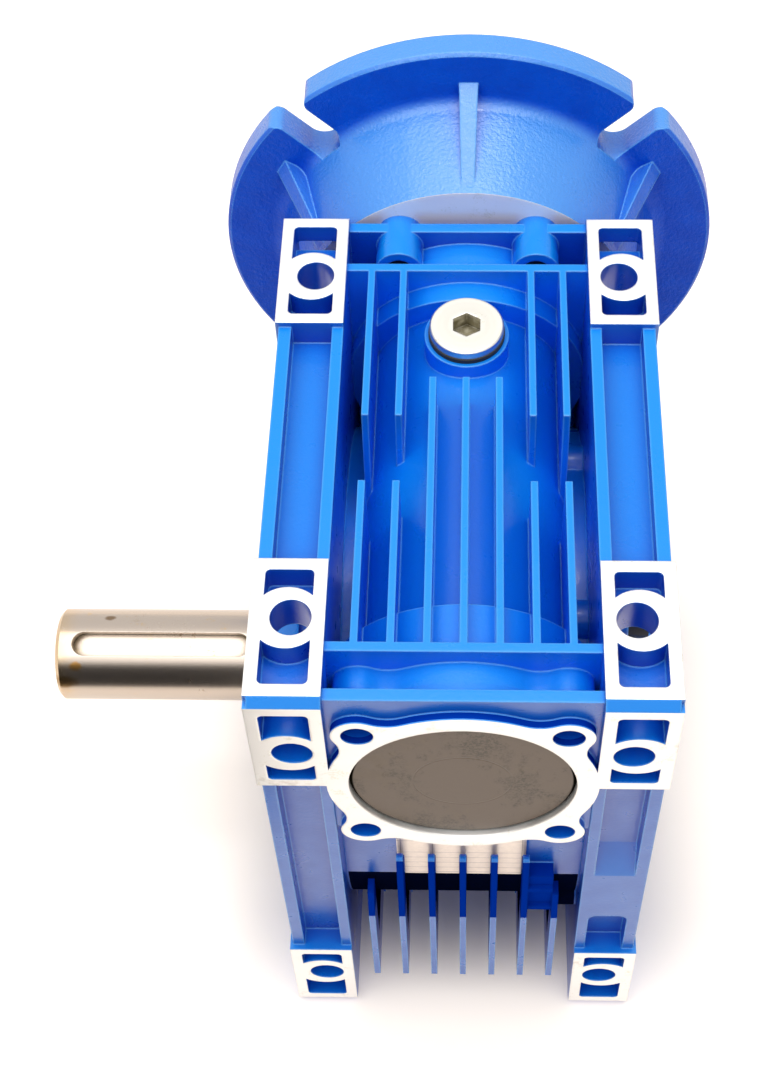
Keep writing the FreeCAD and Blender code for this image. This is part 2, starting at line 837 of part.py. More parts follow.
def wheel_rim():
    """Bronze rim: throated blank with thirty gaps that the worm thread sweeps."""
    half = wheel_rim_width / 2
    inner = wheel_outer_radius - wheel_rim_depth
    throat = worm_root_radius + tooth_clearance
    outer = wheel_outer_radius
    blank = revolve_x([(-half, inner), (-half, outer), (half, outer), (half, inner)])
    centre = Vector(0, 0, output_axis_height)
    throat_ring = Part.makeTorus(centre_distance, throat, centre, Vector(1, 0, 0))
    reach = half + cut_through
    places = [reach * (2 * i / (wheel_sections - 1) - 1) for i in range(wheel_sections)]
    gap = Part.makeLoft([gap_section(x) for x in places], True, True)
    gaps = [turned_x(gap, 360.0 * i / wheel_teeth) for i in range(wheel_teeth)]
    return blank.cut([throat_ring] + gaps)


def wheel_hub():
    half = hub_face
    rim_seat = wheel_outer_radius - wheel_rim_depth
    shoulder = wheel_bearing_outer_end - wheel_bearing["width"]
    web = hub_web_width / 2
    seat = hub_rim_seat_width / 2
    core = rod_x(hollow_outer_radius, -half, half)
    collar = rod_x(hub_shoulder_radius, -shoulder, shoulder)
    disc = rod_x(hub_web_radius, -web, web)
    low = hub_web_radius - hub_ring_overlap
    ring = revolve_x([(-seat, low), (-seat, rim_seat), (seat, rim_seat), (seat, low)])
    past = half + cut_through
    bore = rod_x(shaft_radius + seat_clearance, -past, past)
    keyway = key_block(-past, past, 0, shaft_radius + key_hub_depth, key_width)
    return fuse([core, collar, disc, ring]).cut([bore, keyway])


def key_block(x0, x1, radius_low, radius_high, width):
    """Straight key shape along the output axis, turned to the keyway's place."""
    z0 = output_axis_height + radius_low
    z1 = output_axis_height + radius_high
    return turned_x(box(x0, x1, -width / 2, width / 2, z0, z1), keyway_turn)


def round_key(x0, x1, radius_low, radius_high, width):
    """The same with round ends, as a parallel key and the slot that an end mill leaves."""
    end = width / 2
    z0 = output_axis_height + radius_low
    z1 = output_axis_height + radius_high
    middle = box(x0 + end, x1 - end, -end, end, z0, z1)
    ends = [rod_z(end, z0, z1, x, 0) for x in (x0 + end, x1 - end)]
    return turned_x(fuse([middle] + ends), keyway_turn)


# Output shaft and its fastening
def shaft_face():
    """Outer end of the plug-in shaft."""
    return -hub_face - shoulder_width - shaft_stick_out


def inner_key_span():
    return -inner_key_length / 2, inner_key_length / 2


def output_shaft():
    end = shaft_face()
    inner_end = hub_face - shaft_end_gap
    c = shaft_chamfer
    shoulder = -hub_face - shoulder_width
    # The seam line of the turned surface stays away from both keyways
    turned = turned_x(revolve_x([
        (end, 0), (end, shaft_radius - c), (end + c, shaft_radius), (shoulder, shaft_radius),
        (shoulder, shoulder_radius), (-hub_face, shoulder_radius), (-hub_face, shaft_radius),
        (inner_end - c, shaft_radius), (inner_end, shaft_radius - c), (inner_end, 0),
    ]), keyway_turn - shaft_seam_turn)
    low = shaft_radius - key_shaft_depth
    high = shaft_radius + cut_through
    start = end + open_keyway_start
    open_slot = round_key(start, start + open_keyway_length, low, high, key_width)
    x0, x1 = inner_key_span()
    key_slot = round_key(x0, x1, low, high, key_width)
    hole_end = hub_face + washer_thickness - bolt_length - bolt_hole_spare
    bolt_hole = rod_x(bolt_radius + static_clearance, hole_end, inner_end + cut_through)
    return turned.cut([open_slot, key_slot, bolt_hole])


def output_key():
    x0, x1 = inner_key_span()
    low = shaft_radius - key_shaft_depth
    play = seat_clearance
    return round_key(x0 + play, x1 - play, low, low + key_height, key_width - 2 * play)


def output_washer():
    hole = bolt_radius + static_clearance
    face = hub_face + washer_thickness
    return revolve_x([
        (hub_face, hole), (hub_face, shoulder_radius), (face, shoulder_radius), (face, hole),
    ])


def output_bolt():
    seat = hub_face + washer_thickness
    stem = rod_x(bolt_radius, seat - bolt_length, seat)
    under_head = Vector(seat, 0, output_axis_height)
    head = hexagon(2 * bolt_head_radius, bolt_head_height, under_head, Vector(1, 0, 0))
    return fuse([stem, head])


def ring_round(turned, place, radius, section):
    """Ring of round section about the axis that the given turned function uses."""
    if turned is revolve_x:
        return Part.makeTorus(radius, section, Vector(place, 0, output_axis_height), Vector(1, 0, 0))
    return Part.makeTorus(radius, section, Vector(0, place, worm_axis_height), Vector(0, 1, 0))


# Bearings
def bearing(name, spec, place, turned):
    """Outer ring, inner ring, balls and cage, centred at place on the axis of the given turned function."""
    half = spec["width"] / 2
    pitch = (spec["bore"] + spec["outer"]) / 2
    ball = spec["ball"]
    groove = ball + race_clearance
    step = ball * race_shoulder
    near = place - half
    far = place + half
    high = pitch + step
    low = pitch - step
    outer = turned([(near, high), (near, spec["outer"]), (far, spec["outer"]), (far, high)])
    inner = turned([(near, spec["bore"]), (near, low), (far, low), (far, spec["bore"])])
    along_x = turned is revolve_x
    race = ring_round(turned, place, pitch, groove)
    centre = Vector(place, 0, output_axis_height) if along_x else Vector(0, place, worm_axis_height)
    reach = ball + cage_margin
    cage = turned([
        (place - reach, pitch - cage_wall / 2), (place - reach, pitch + cage_wall / 2),
        (place + reach, pitch + cage_wall / 2), (place + reach, pitch - cage_wall / 2),
    ])
    balls = []
    pockets = []
    for a, b in circle_places(pitch, spec["count"], 90):
        spot = centre + (Vector(0, a, b) if along_x else Vector(a, 0, b))
        balls.append(Part.makeSphere(ball, spot))
        pockets.append(Part.makeSphere(ball + seat_clearance, spot))
    return {
        name + "_outer_ring": outer.cut(race),
        name + "_inner_ring": inner.cut(race),
        name + "_cage": cage.cut(pockets),
        name + "_balls": Part.makeCompound(balls),
    }


# Seals and rings
def lip_seal(turned, face, inward, width, outer, shaft):
    """Seal ring with a lip on the shaft: inward is +1 or -1, from the open face into the housing."""
    lip = shaft + running_clearance
    mid = (outer + shaft) / 2
    rise = seal_lip_rise
    points = [
        (0, mid - rise), (0, outer), (width, outer), (width, outer - seal_case),
        (seal_case, outer - seal_case), (seal_case, mid), (width / 2 + seal_case, lip + rise),
        (width / 2, lip), (width / 2 - seal_case / 2, lip + rise / 2), (seal_case / 2, mid - rise),
    ]
    return turned([(face + inward * a, r) for a, r in points])


def circlip(y0, y1):
    """Internal retaining ring with a gap at the bottom and two eyes."""
    bore = worm_bearing["outer"]
    outer = bore + circlip_depth - circlip_groove_room
    inner = bore + circlip_depth - circlip_reach
    ring = revolve_y([(y0, inner), (y0, outer), (y1, outer), (y1, inner)])
    eye = circlip_eye_radius
    eye_circle = bore - eye - circlip_eye_inset
    half_gap = circlip_gap / 2
    gap_low = worm_axis_height - bore - circlip_depth - cut_through
    gap = box(-half_gap, half_gap, y0, y1, gap_low, worm_axis_height - eye_circle + circlip_reach)
    eyes = []
    holes = []
    for side in (-1, 1):
        x = side * (half_gap + eye * math.sqrt(0.5))
        z = worm_axis_height - math.sqrt(eye_circle ** 2 - x ** 2)
        eyes.append(rod_y(eye, y0, y1, x, z))
        holes.append(rod_y(circlip_eye_hole, y0 - cut_through, y1 + cut_through, x, z))
    return fuse([ring.cut(gap)] + eyes).cut(holes)


# End cap
def end_cap():
    face = -half_length + end_cap_recess
    radius = end_cap_radius
    inner = radius - end_cap_wall
    bottom = face + end_cap_depth
    return revolve_y([
        (face, 0), (face, radius - end_cap_edge), (face + end_cap_edge, radius), (bottom, radius),
        (bottom, inner), (face + end_cap_wall, inner), (face + end_cap_wall, 0),
    ])


# Oil plugs
def oil_plug(x, y, seat, up):
    """Plug with a socket hexagon: up is +1 when its head is on top, -1 when it hangs."""
    under = seat + up * plug_washer_height
    top = under + up * plug_head_height
    head = rod_z(plug_head_radius, under, top, x, y)
    rim = [e for e in head.Edges if abs(e.CenterOfMass.z - top) < seat_clearance]
    head = head.makeChamfer(edge_break, rim)
    stem = rod_z(plug_stem_radius, under - up * (plug_stem_length + plug_washer_height), under, x, y)
    mouth = Vector(x, y, top + up * cut_through)
    socket = hexagon(plug_hex, plug_hex_depth + cut_through, mouth, Vector(0, 0, -up))
    return fuse([head, stem]).cut(socket)


def plug_washer(x, y, seat, up):
    end = seat + up * plug_washer_height
    outer = rod_z(plug_head_radius + plug_washer_margin, seat, end, x, y)
    return outer.cut(rod_z(plug_stem_radius + static_clearance, seat - up, end + up, x, y))


# Side cover
def side_cover():
    seat = side_plate_outer
    out = seat + cover_flange
    shoulder = wheel_bearing_outer_end
    bearing_radius = wheel_bearing["outer"]
    pilot = chamber_radius - seat_clearance
    hub_wall_end = chamber_half_width
    seal_seat = output_seal_radius - seal_step
    past = side_face + cut_through
    body = revolve_x([
        (hub_wall_end, bearing_radius), (hub_wall_end, bearing_radius + cover_wall),
        (seat, bearing_radius + cover_wall + cover_web_flare), (seat, pilot - cover_pilot_wall),
        (hub_wall_end, pilot - cover_pilot_wall), (hub_wall_end, pilot), (seat, pilot),
        (seat, cover_flange_radius), (out, cover_flange_radius),
        (out, side_face_radius - cover_face_step), (side_face, side_face_radius - cover_face_flare),
        (side_face, pilot_radius), (hub_face, pilot_radius),
        (hub_face, output_seal_radius), (hub_face - seal_width, output_seal_radius),
        (hub_face - seal_width, seal_seat), (shoulder, seal_seat), (shoulder, bearing_radius),
    ])
    ears = [
        rod_x(cover_ear_radius, seat, out, a, output_axis_height + b) for a, b in cover_screw_places()
    ]
    holes = [
        rod_x(cover_screw_radius + static_clearance, seat - cut_through, past, a, output_axis_height + b)
        for a, b in cover_screw_places()
    ]
    spot_faces = [
        rod_x(cover_screw_head_radius + edge_break, out, past, a, output_axis_height + b)
        for a, b in cover_screw_places()
    ]
    tapped = [
        rod_x(tapped_hole_radius, side_face - tapped_hole_depth, past, a, output_axis_height + b)
        for a, b in circle_places(tapped_circle_radius, tapped_count, tapped_start)
    ]
    ring_radius = chamber_radius - cover_ring_section
    groove = ring_round(revolve_x, cover_ring_place(), ring_radius, cover_ring_section + static_clearance)
    return cut(fuse([body] + ears), holes + spot_faces + tapped + [groove])


def cover_ring_place():
    return (chamber_half_width + side_plate_outer) / 2


def side_cover_oring():
    radius = chamber_radius - cover_ring_section - seat_clearance
    return ring_round(revolve_x, cover_ring_place(), radius, cover_ring_section)


def side_cover_screws():
    seat = side_plate_outer + cover_flange
    screws = []
    for a, b in cover_screw_places():
        z = output_axis_height + b
        head = rod_x(cover_screw_head_radius, seat, seat + cover_screw_head_height, a, z)
        stem = rod_x(cover_screw_radius, seat - cover_screw_length, seat, a, z)
        middle = Vector(seat + cover_screw_head_height / 2, a, z)
        socket = hexagon(cover_screw_hex, cover_screw_head_height, middle, Vector(1, 0, 0))
        screws.append(fuse([head, stem]).cut(socket))
    return Part.makeCompound(screws)


# Motor flange
def motor_flange():
    back = half_length
    plate_back = flange_face_y - flange_plate
    face = flange_face_y
    inside = bell_small_radius - bell_taper
    spigot_face = back - spigot_length
    body = revolve_y([
        (spigot_face, flange_hole_radius), (spigot_face, spigot_radius), (back, spigot_radius),
        (back, bell_small_radius), (plate_back, bell_large_radius),
        (plate_back, flange_radius - flange_edge), (plate_back + flange_edge, flange_radius),
        (face - flange_edge, flange_radius), (face, flange_radius - flange_edge),
        (face, motor_pilot_radius), (face - motor_pilot_depth, motor_pilot_radius),
        (face - motor_pilot_depth, motor_pilot_radius - motor_pilot_step),
        (back + bell_back, inside), (back + bell_back, flange_hole_radius),
    ])
    corner = [
        e for e in body.Edges
        if isinstance(e.Curve, Part.Circle)
        and abs(e.Curve.Radius - bell_large_radius) < seat_clearance
        and abs(e.Curve.Center.y - plate_back) < seat_clearance
    ]
    body = body.makeFillet(bell_fillet, corner)
    root = back + flange_rib_root
    end = plate_back + flange_edge
    tip = flange_rib_tip_radius
    rib_outline = [
        (root, inside + flange_edge), (root, bell_small_radius + edge_break),
        (plate_back, tip), (end, tip), (end, bell_large_radius - bell_taper),
    ]
    corners = [Vector(-flange_rib_wall / 2, y, worm_axis_height + radius) for y, radius in rib_outline]
    rib = Part.Face(Part.makePolygon(corners + corners[:1])).extrude(Vector(flange_rib_wall, 0, 0))
    narrow = flange_rib_inner_wall / 2
    wide = flange_rib_wall / 2
    rib = rib.common(plate_xz([(-narrow, inside), (-wide, tip), (wide, tip), (narrow, inside)], back, face))
    ribs = [turned_y(rib, 360.0 * i / flange_rib_count) for i in range(flange_rib_count)]
    half_slot = flange_slot_width / 2
    slot_back = plate_back - slot_relief
    slot_front = face + cut_through
    slot_bottom = worm_axis_height + flange_slot_circle
    slot_top = worm_axis_height + flange_radius + cut_through
    slot_end = rod_y(half_slot, slot_back, slot_front, 0, slot_bottom)
    slot_run = box(-half_slot, half_slot, slot_back, slot_front, slot_bottom, slot_top)
    mouth_x = half_slot + slot_mouth_radius
    mouth_circle = flange_radius - slot_mouth_radius
    mouth_z = math.sqrt(mouth_circle ** 2 - mouth_x ** 2)
    scale = flange_radius / mouth_circle
    rim = (mouth_x * scale, mouth_z * scale)
    high = flange_radius + cut_through
    mouth = plate_xz(
        [(0, mouth_z), (mouth_x, mouth_z), rim, (rim[0], high), (0, high)], slot_back, slot_front
    )
    centre_z = worm_axis_height + mouth_z
    rounding = rod_y(slot_mouth_radius, slot_back - cut_through, slot_front + cut_through, mouth_x, centre_z)
    mouth = mouth.cut(rounding)
    slot = fuse([slot_end, slot_run, mouth, mirror_x(mouth)])
    slots = [turned_y(slot, slot_start + 360.0 * i / flange_slot_count) for i in range(flange_slot_count)]
    screw_hole_radius = flange_screw_radius + static_clearance
    screw = rod_y(screw_hole_radius, back - cut_through, back + bell_back + cut_through, flange_screw_circle)
    screws = [turned_y(screw, angle) for angle in flange_screw_angles]
    ring_radius = spigot_radius - spigot_ring_section
    groove_section = spigot_ring_section + static_clearance
    groove = ring_round(revolve_y, (spigot_face + back) / 2, ring_radius, groove_section)
    return cut(fuse([body] + ribs), slots + screws + [groove])


def motor_flange_oring():
    radius = spigot_radius - spigot_ring_section
    return ring_round(revolve_y, half_length - spigot_length / 2, radius, spigot_ring_section)


def motor_flange_screws():
    seat = half_length + bell_back
    head = rod_y(flange_screw_head_radius, seat, seat + flange_screw_head_height, flange_screw_circle)
    stem = rod_y(flange_screw_radius, seat - flange_screw_length, seat, flange_screw_circle)
    middle = Vector(flange_screw_circle, seat + flange_screw_head_height / 2, worm_axis_height)
    socket = hexagon(flange_screw_hex, flange_screw_head_height, middle, Vector(0, 1, 0))
    screw = fuse([head, stem]).cut(socket)
    return Part.makeCompound([turned_y(screw, angle) for angle in flange_screw_angles])


def all_nodes():
    """Every named piece of the reducer."""
    near_clip = near_bearing_y - worm_bearing["width"] / 2
    far_clip = far_bearing_y + worm_bearing["width"] / 2
    wheel_place = wheel_bearing_outer_end - wheel_bearing["width"] / 2
    seal_face = half_length - spigot_length
    worm_bore = worm_bearing["bore"]
    hub = hollow_outer_radius
    nodes = {
        "side_cover": side_cover(),
        "side_cover_oring": side_cover_oring(),
        "side_cover_screws": side_cover_screws(),
        "worm_shaft": worm_shaft(),
        "wheel_rim": wheel_rim(),
        "wheel_hub": wheel_hub(),
        "output_shaft": output_shaft(),
        "output_key": output_key(),
        "output_washer": output_washer(),
        "output_bolt": output_bolt(),
        "worm_circlip_near": circlip(near_clip - circlip_width, near_clip),
        "worm_circlip_far": circlip(far_clip, far_clip + circlip_width),
        "input_seal": lip_seal(revolve_y, seal_face, -1, input_seal_width, worm_bearing["outer"], worm_bore),
        "output_seal_left": lip_seal(revolve_x, -hub_face, 1, seal_width, output_seal_radius, hub),
        "output_seal_right": lip_seal(revolve_x, hub_face, -1, seal_width, output_seal_radius, hub),
        "end_cap": end_cap(),
        "filler_plug": oil_plug(0, plug_y, plug_boss_top, 1),
        "filler_plug_washer": plug_washer(0, plug_y, plug_boss_top, 1),
        "drain_plug": oil_plug(0, 0, drain_boss_bottom(), -1),
        "drain_plug_washer": plug_washer(0, 0, drain_boss_bottom(), -1),
        "motor_flange": motor_flange(),
        "motor_flange_oring": motor_flange_oring(),
        "motor_flange_screws": motor_flange_screws(),
    }
    nodes.update(casing_nodes())
    nodes.update(bearing("worm_bearing_near", worm_bearing, near_bearing_y, revolve_y))
    nodes.update(bearing("worm_bearing_far", worm_bearing, far_bearing_y, revolve_y))
    nodes.update(bearing("wheel_bearing_left", wheel_bearing, -wheel_place, revolve_x))
    nodes.update(bearing("wheel_bearing_right", wheel_bearing, wheel_place, revolve_x))
    return nodes


for node_name, shape in all_nodes().items():
    shape.exportStep("parts/" + node_name + ".step")
    print(node_name, "solids", len(shape.Solids), "volume", round(shape.Volume), "valid", shape.isValid())
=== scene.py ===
import math

import bpy
import numpy as np
from mathutils import Euler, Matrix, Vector


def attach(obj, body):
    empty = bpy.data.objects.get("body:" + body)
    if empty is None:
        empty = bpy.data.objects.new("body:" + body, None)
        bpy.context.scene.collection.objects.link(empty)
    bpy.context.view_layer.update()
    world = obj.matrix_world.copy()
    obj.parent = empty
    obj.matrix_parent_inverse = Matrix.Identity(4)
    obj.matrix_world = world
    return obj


# Worm gear reducer, dressed for a plain studio picture. Metres, +Z up, output shaft towards -X.
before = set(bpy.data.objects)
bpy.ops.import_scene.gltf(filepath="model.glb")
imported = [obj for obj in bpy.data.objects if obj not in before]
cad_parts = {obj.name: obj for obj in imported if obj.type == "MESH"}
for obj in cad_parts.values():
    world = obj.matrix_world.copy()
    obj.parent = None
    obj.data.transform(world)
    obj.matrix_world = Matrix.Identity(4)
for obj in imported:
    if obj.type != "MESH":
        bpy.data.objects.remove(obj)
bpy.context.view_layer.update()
scene = bpy.context.scene
print("frame loaded:", len(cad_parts), "nodes")


# Camera, matched to the photograph
view = {
    "location": (0.00197, -0.31254, 0.60551),
    "turn": (34.7857, 0.8737, 1.1125),  # degrees about X, Y and Z
    "lens": 61.09,
    "sensor": 36.0,
    "shiftX": -0.0412,
    "nearest": 0.01,  # nothing closer to the lens than this is drawn
}


def placeCamera(values):
    data = bpy.data.cameras.new("studioCamera")
    data.lens = values["lens"]
    data.sensor_width = values["sensor"]
    data.shift_x = values["shiftX"]
    data.clip_start = values["nearest"]
    camera = bpy.data.objects.new("studioCamera", data)
    camera.location = values["location"]
    camera.rotation_euler = Euler([math.radians(angle) for angle in values["turn"]])
    scene.collection.objects.link(camera)
    scene.camera = camera


placeCamera(view)
print("camera placed")


# Shader node helpers. A value may be a number, a tuple or the output of another node.
mixSockets = {"FLOAT": (2, 3, 0), "VECTOR": (4, 5, 1), "RGBA": (6, 7, 2)}  # A, B and result of a Mix node


def feed(tree, socket, value):
    if isinstance(value, bpy.types.NodeSocket):
        tree.links.new(value, socket)
    elif socket.type == "RGBA":
        socket.default_value = (*value, 1.0)
    elif value is not None:
        socket.default_value = value


def addMath(tree, operation, a, b=None):
    node = tree.nodes.new("ShaderNodeMath")
    node.operation = operation
    feed(tree, node.inputs[0], a)
    feed(tree, node.inputs[1], b)
    return node.outputs[0]


def times(tree, a, b):
    return addMath(tree, "MULTIPLY", a, b)


def gather(tree, operation, values):
    # The same operation carried along a list, such as the highest of several masks
    total = values[0]
    for value in values[1:]:
        total = addMath(tree, operation, total, value)
    return total


def addShares(tree, a, shareA, b, shareB):
    return addMath(tree, "ADD", times(tree, a, shareA), times(tree, b, shareB))


def addVector(tree, operation, a, b=None):
    node = tree.nodes.new("ShaderNodeVectorMath")
    node.operation = operation
    feed(tree, node.inputs[0], a)
    feed(tree, node.inputs[1], b)
    return node.outputs["Value" if operation in ("DOT_PRODUCT", "LENGTH") else "Vector"]


def split(tree, vector):
    node = tree.nodes.new("ShaderNodeSeparateXYZ")
    tree.links.new(vector, node.inputs[0])
    return node.outputs


def addNoise(tree, where, scale, detail=2.0, roughness=0.5):
    node = tree.nodes.new("ShaderNodeTexNoise")
    for name, value in (("Vector", where), ("Scale", scale), ("Detail", detail), ("Roughness", roughness)):
        feed(tree, node.inputs[name], value)
    return node.outputs["Fac"]


def addRange(tree, value, low, high, outLow=0.0, outHigh=1.0, smooth=True):
    node = tree.nodes.new("ShaderNodeMapRange")
    node.interpolation_type = "SMOOTHSTEP" if smooth else "LINEAR"
    names = ("Value", "From Min", "From Max", "To Min", "To Max")
    for name, given in zip(names, (value, low, high, outLow, outHigh)):
        feed(tree, node.inputs[name], given)
    return node.outputs["Result"]


def addFade(tree, mask, atNone, atFull):
    # In a straight line from one number where the mask is 0 to another where it is 1
    return addRange(tree, mask, 0.0, 1.0, atNone, atFull, smooth=False)


def addMix(tree, factor, a, b, kind="RGBA"):
    node = tree.nodes.new("ShaderNodeMix")
    node.data_type = kind
    first, second, result = mixSockets[kind]
    for index, value in ((0, factor), (first, a), (second, b)):
        feed(tree, node.inputs[index], value)
    return node.outputs[result]


def addUpward(tree, low, high):
    # 1 on faces that look up: the Z of their normal, from low to high
    normal = tree.nodes.new("ShaderNodeNewGeometry").outputs["Normal"]
    return addRange(tree, split(tree, normal)["Z"], low, high)


def addBump(tree, height, distance, normal=None):
    node = tree.nodes.new("ShaderNodeBump")
    node.inputs["Distance"].default_value = distance
    node.inputs["Strength"].default_value = 1.0
    tree.links.new(height, node.inputs["Height"])
    feed(tree, node.inputs["Normal"], normal)
    return node.outputs["Normal"]


def addBox(tree, where, centre, half):
    # 1 inside a box given by its centre and half sizes: the least of half - |where - centre| is over 0
    away = addVector(tree, "ABSOLUTE", addVector(tree, "SUBTRACT", where, centre))
    past = split(tree, addVector(tree, "SUBTRACT", half, away))
    return addMath(tree, "GREATER_THAN", gather(tree, "MINIMUM", [past["X"], past["Y"], past["Z"]]), 0.0)


def newMaterial(name):
    material = bpy.data.materials.new(name)
    material.use_nodes = True
    tree = material.node_tree
    return material, tree, tree.nodes["Principled BSDF"]


def objectPlace(tree):
    return tree.nodes.new("ShaderNodeTexCoord").outputs["Object"]


def newSurface(name, points, faces, material):
    mesh = bpy.data.meshes.new(name)
    mesh.from_pydata(points, [], faces)
    mesh.materials.append(material)
    surface = bpy.data.objects.new(name, mesh)
    scene.collection.objects.link(surface)
    return surface


# Light: a wide soft lamp above the camera and a small one for highlights, in a white room
room = {
    "diffuse": 0.48,  # the strength with which it lights the pieces
    "seen": 1.0,  # and with which it is seen and reflected
    "lamps": {
        "overhead": {"at": (-0.12, -0.2, 1.3), "aim": (0.0, 0.0, 0.1), "size": 1.8, "power": 16.7},
        "sparkle": {"at": (0.08, 0.12, 1.2), "aim": (0.0, 0.0, 0.1), "size": 0.12, "power": 1.2},
    },
}


def aimLamp(name, values):
    data = bpy.data.lights.new(name, "AREA")
    data.shape = "DISK"
    data.size = values["size"]
    data.energy = values["power"]
    lamp = bpy.data.objects.new(name, data)
    lamp.location = values["at"]
    direction = Vector(values["aim"]) - Vector(values["at"])
    lamp.rotation_euler = direction.to_track_quat("-Z", "Y").to_euler()
    scene.collection.objects.link(lamp)


def seenDirectly(tree):
    path = tree.nodes.new("ShaderNodeLightPath").outputs
    rays = ("Is Camera Ray", "Is Glossy Ray", "Is Transmission Ray")
    return gather(tree, "MAXIMUM", [path[ray] for ray in rays])


def paintRoom(values):
    world = bpy.data.worlds.new("whiteRoom")
    scene.world = world
    world.use_nodes = True
    tree = world.node_tree
    background = tree.nodes["Background"]
    feed(tree, background.inputs["Color"], (1.0, 1.0, 1.0))
    strength = addFade(tree, seenDirectly(tree), values["diffuse"], values["seen"])
    feed(tree, background.inputs["Strength"], strength)


# Pale floor. A lift is added where it is seen or reflected, so that the open floor reads white.
floorLook = {
    "colour": (0.93, 0.88, 0.83),
    "roughness": 0.9,
    "specular": 0.1,
    "reach": 6.0,
    "liftTint": (1.0, 0.87, 0.74),
    "body": (0.055, 0.05, 1.0),  # half sizes of the part under the casing, which gets no lift
    "nearLift": 0.4,
    "nearEnd": 0.05,  # the near lift is full this far from the casing
    "farLift": 0.5,  # added as well past the lamp's reach
    "farStart": 0.25,
    "farEnd": 1.5,
}


def layFloor(values):
    # A flat square at z = 0, corners at plus and minus the reach
    material, tree, shader = newMaterial("paleFloor")
    feed(tree, shader.inputs["Base Color"], values["colour"])
    feed(tree, shader.inputs["Roughness"], values["roughness"])
    feed(tree, shader.inputs["Specular IOR Level"], values["specular"])
    # distance past the casing's footprint: length(max(|place| - half, 0)), 0 under the casing
    place = addVector(tree, "ABSOLUTE", objectPlace(tree))
    past = addVector(tree, "MAXIMUM", addVector(tree, "SUBTRACT", place, values["body"]), (0.0, 0.0, 0.0))
    away = addVector(tree, "LENGTH", past)
    near = addRange(tree, away, 0.0, values["nearEnd"], 0.0, values["nearLift"])
    far = addRange(tree, away, values["farStart"], values["farEnd"], 0.0, values["farLift"])
    lift = tree.nodes.new("ShaderNodeEmission")
    feed(tree, lift.inputs["Color"], values["liftTint"])
    feed(tree, lift.inputs["Strength"], times(tree, addMath(tree, "ADD", near, far), seenDirectly(tree)))
    both = tree.nodes.new("ShaderNodeAddShader")
    tree.links.new(shader.outputs[0], both.inputs[0])
    tree.links.new(lift.outputs[0], both.inputs[1])
    tree.links.new(both.outputs[0], tree.nodes["Material Output"].inputs["Surface"])
    corners = np.array([(-1, -1, 0), (1, -1, 0), (1, 1, 0), (-1, 1, 0)], float) * values["reach"]
    floor = newSurface("studioFloor", corners.tolist(), [(0, 1, 2, 3)], material)


# Dark flag that shows only in reflections and gives the shaft its dark band
flagLook = {
    "y": -0.152,
    "left": -0.27,
    "right": -0.064,
    "low": 0.001,
    "high": 0.188,
    "colour": (0.03, 0.03, 0.03),
    "roughness": 0.9,
}


def hangFlag(values):
    # A flat upright rectangle in X and Z at one Y
    material, tree, shader = newMaterial("darkFlag")
    feed(tree, shader.inputs["Base Color"], values["colour"])
    feed(tree, shader.inputs["Roughness"], values["roughness"])
    sides = (("left", "low"), ("right", "low"), ("right", "high"), ("left", "high"))
    corners = [(values[side], values["y"], values[level]) for side, level in sides]
    flag = newSurface("darkFlag", corners, [(3, 2, 1, 0)], material)
    flag.visible_camera = False
    flag.visible_diffuse = False
    flag.visible_shadow = False
    flag.visible_transmission = False


for lampName, lampValues in room["lamps"].items():
    aimLamp(lampName, lampValues)
paintRoom(room)
layFloor(floorLook)
hangFlag(flagLook)
scene.view_settings.view_transform = "Standard"
print("light and floor set")


# Groups that the finishes share
def newGroup(name, inputs, outputs):
    tree = bpy.data.node_groups.new(name, "ShaderNodeTree")
    kinds = {"value": "NodeSocketFloat", "vector": "NodeSocketVector"}
    for label, kind, value in inputs:
        socket = tree.interface.new_socket(name=label, in_out="INPUT", socket_type=kinds[kind])
        socket.default_value = value
    for label, kind in outputs:
        tree.interface.new_socket(name=label, in_out="OUTPUT", socket_type=kinds[kind])
    start = tree.nodes.new("NodeGroupInput")
    end = tree.nodes.new("NodeGroupOutput")
    return tree, start.outputs, end.inputs


def useGroup(tree, group, **values):
    node = tree.nodes.new("ShaderNodeGroup")
    node.node_tree = group
    for name, value in values.items():
        feed(tree, node.inputs[name], value)
    return node.outputs


skinPattern = {
    "fine": {"detail": 2.0, "roughness": 0.6},
    "slow": {"detail": 3.0, "roughness": 0.55},
    "fineShare": 0.6,
    "slowShare": 0.4,
    "mottle": (0.3, 0.7),  # levels of the slow noise from one paint colour to the other
}


def buildCastSkin(values):
    # Painted die-cast skin: fine orange peel plus slow waves, and a slow mottle for the colour
    tree, given, result = newGroup(
        "castSkin",
        [("Where", "vector", (0, 0, 0)), ("Grain", "value", 900.0), ("Wave", "value", 90.0)],
        [("Height", "value"), ("Mottle", "value")],
    )
    fine = addNoise(tree, given["Where"], given["Grain"], **values["fine"])
    slow = addNoise(tree, given["Where"], given["Wave"], **values["slow"])
    feed(tree, result["Height"], addShares(tree, fine, values["fineShare"], slow, values["slowShare"]))
    feed(tree, result["Mottle"], addRange(tree, slow, *values["mottle"]))
    return tree


edgePattern = {
    "samples": 6,
    "bend": (0.99, 0.86),  # cosines of the bend at which the mask starts and is full
}


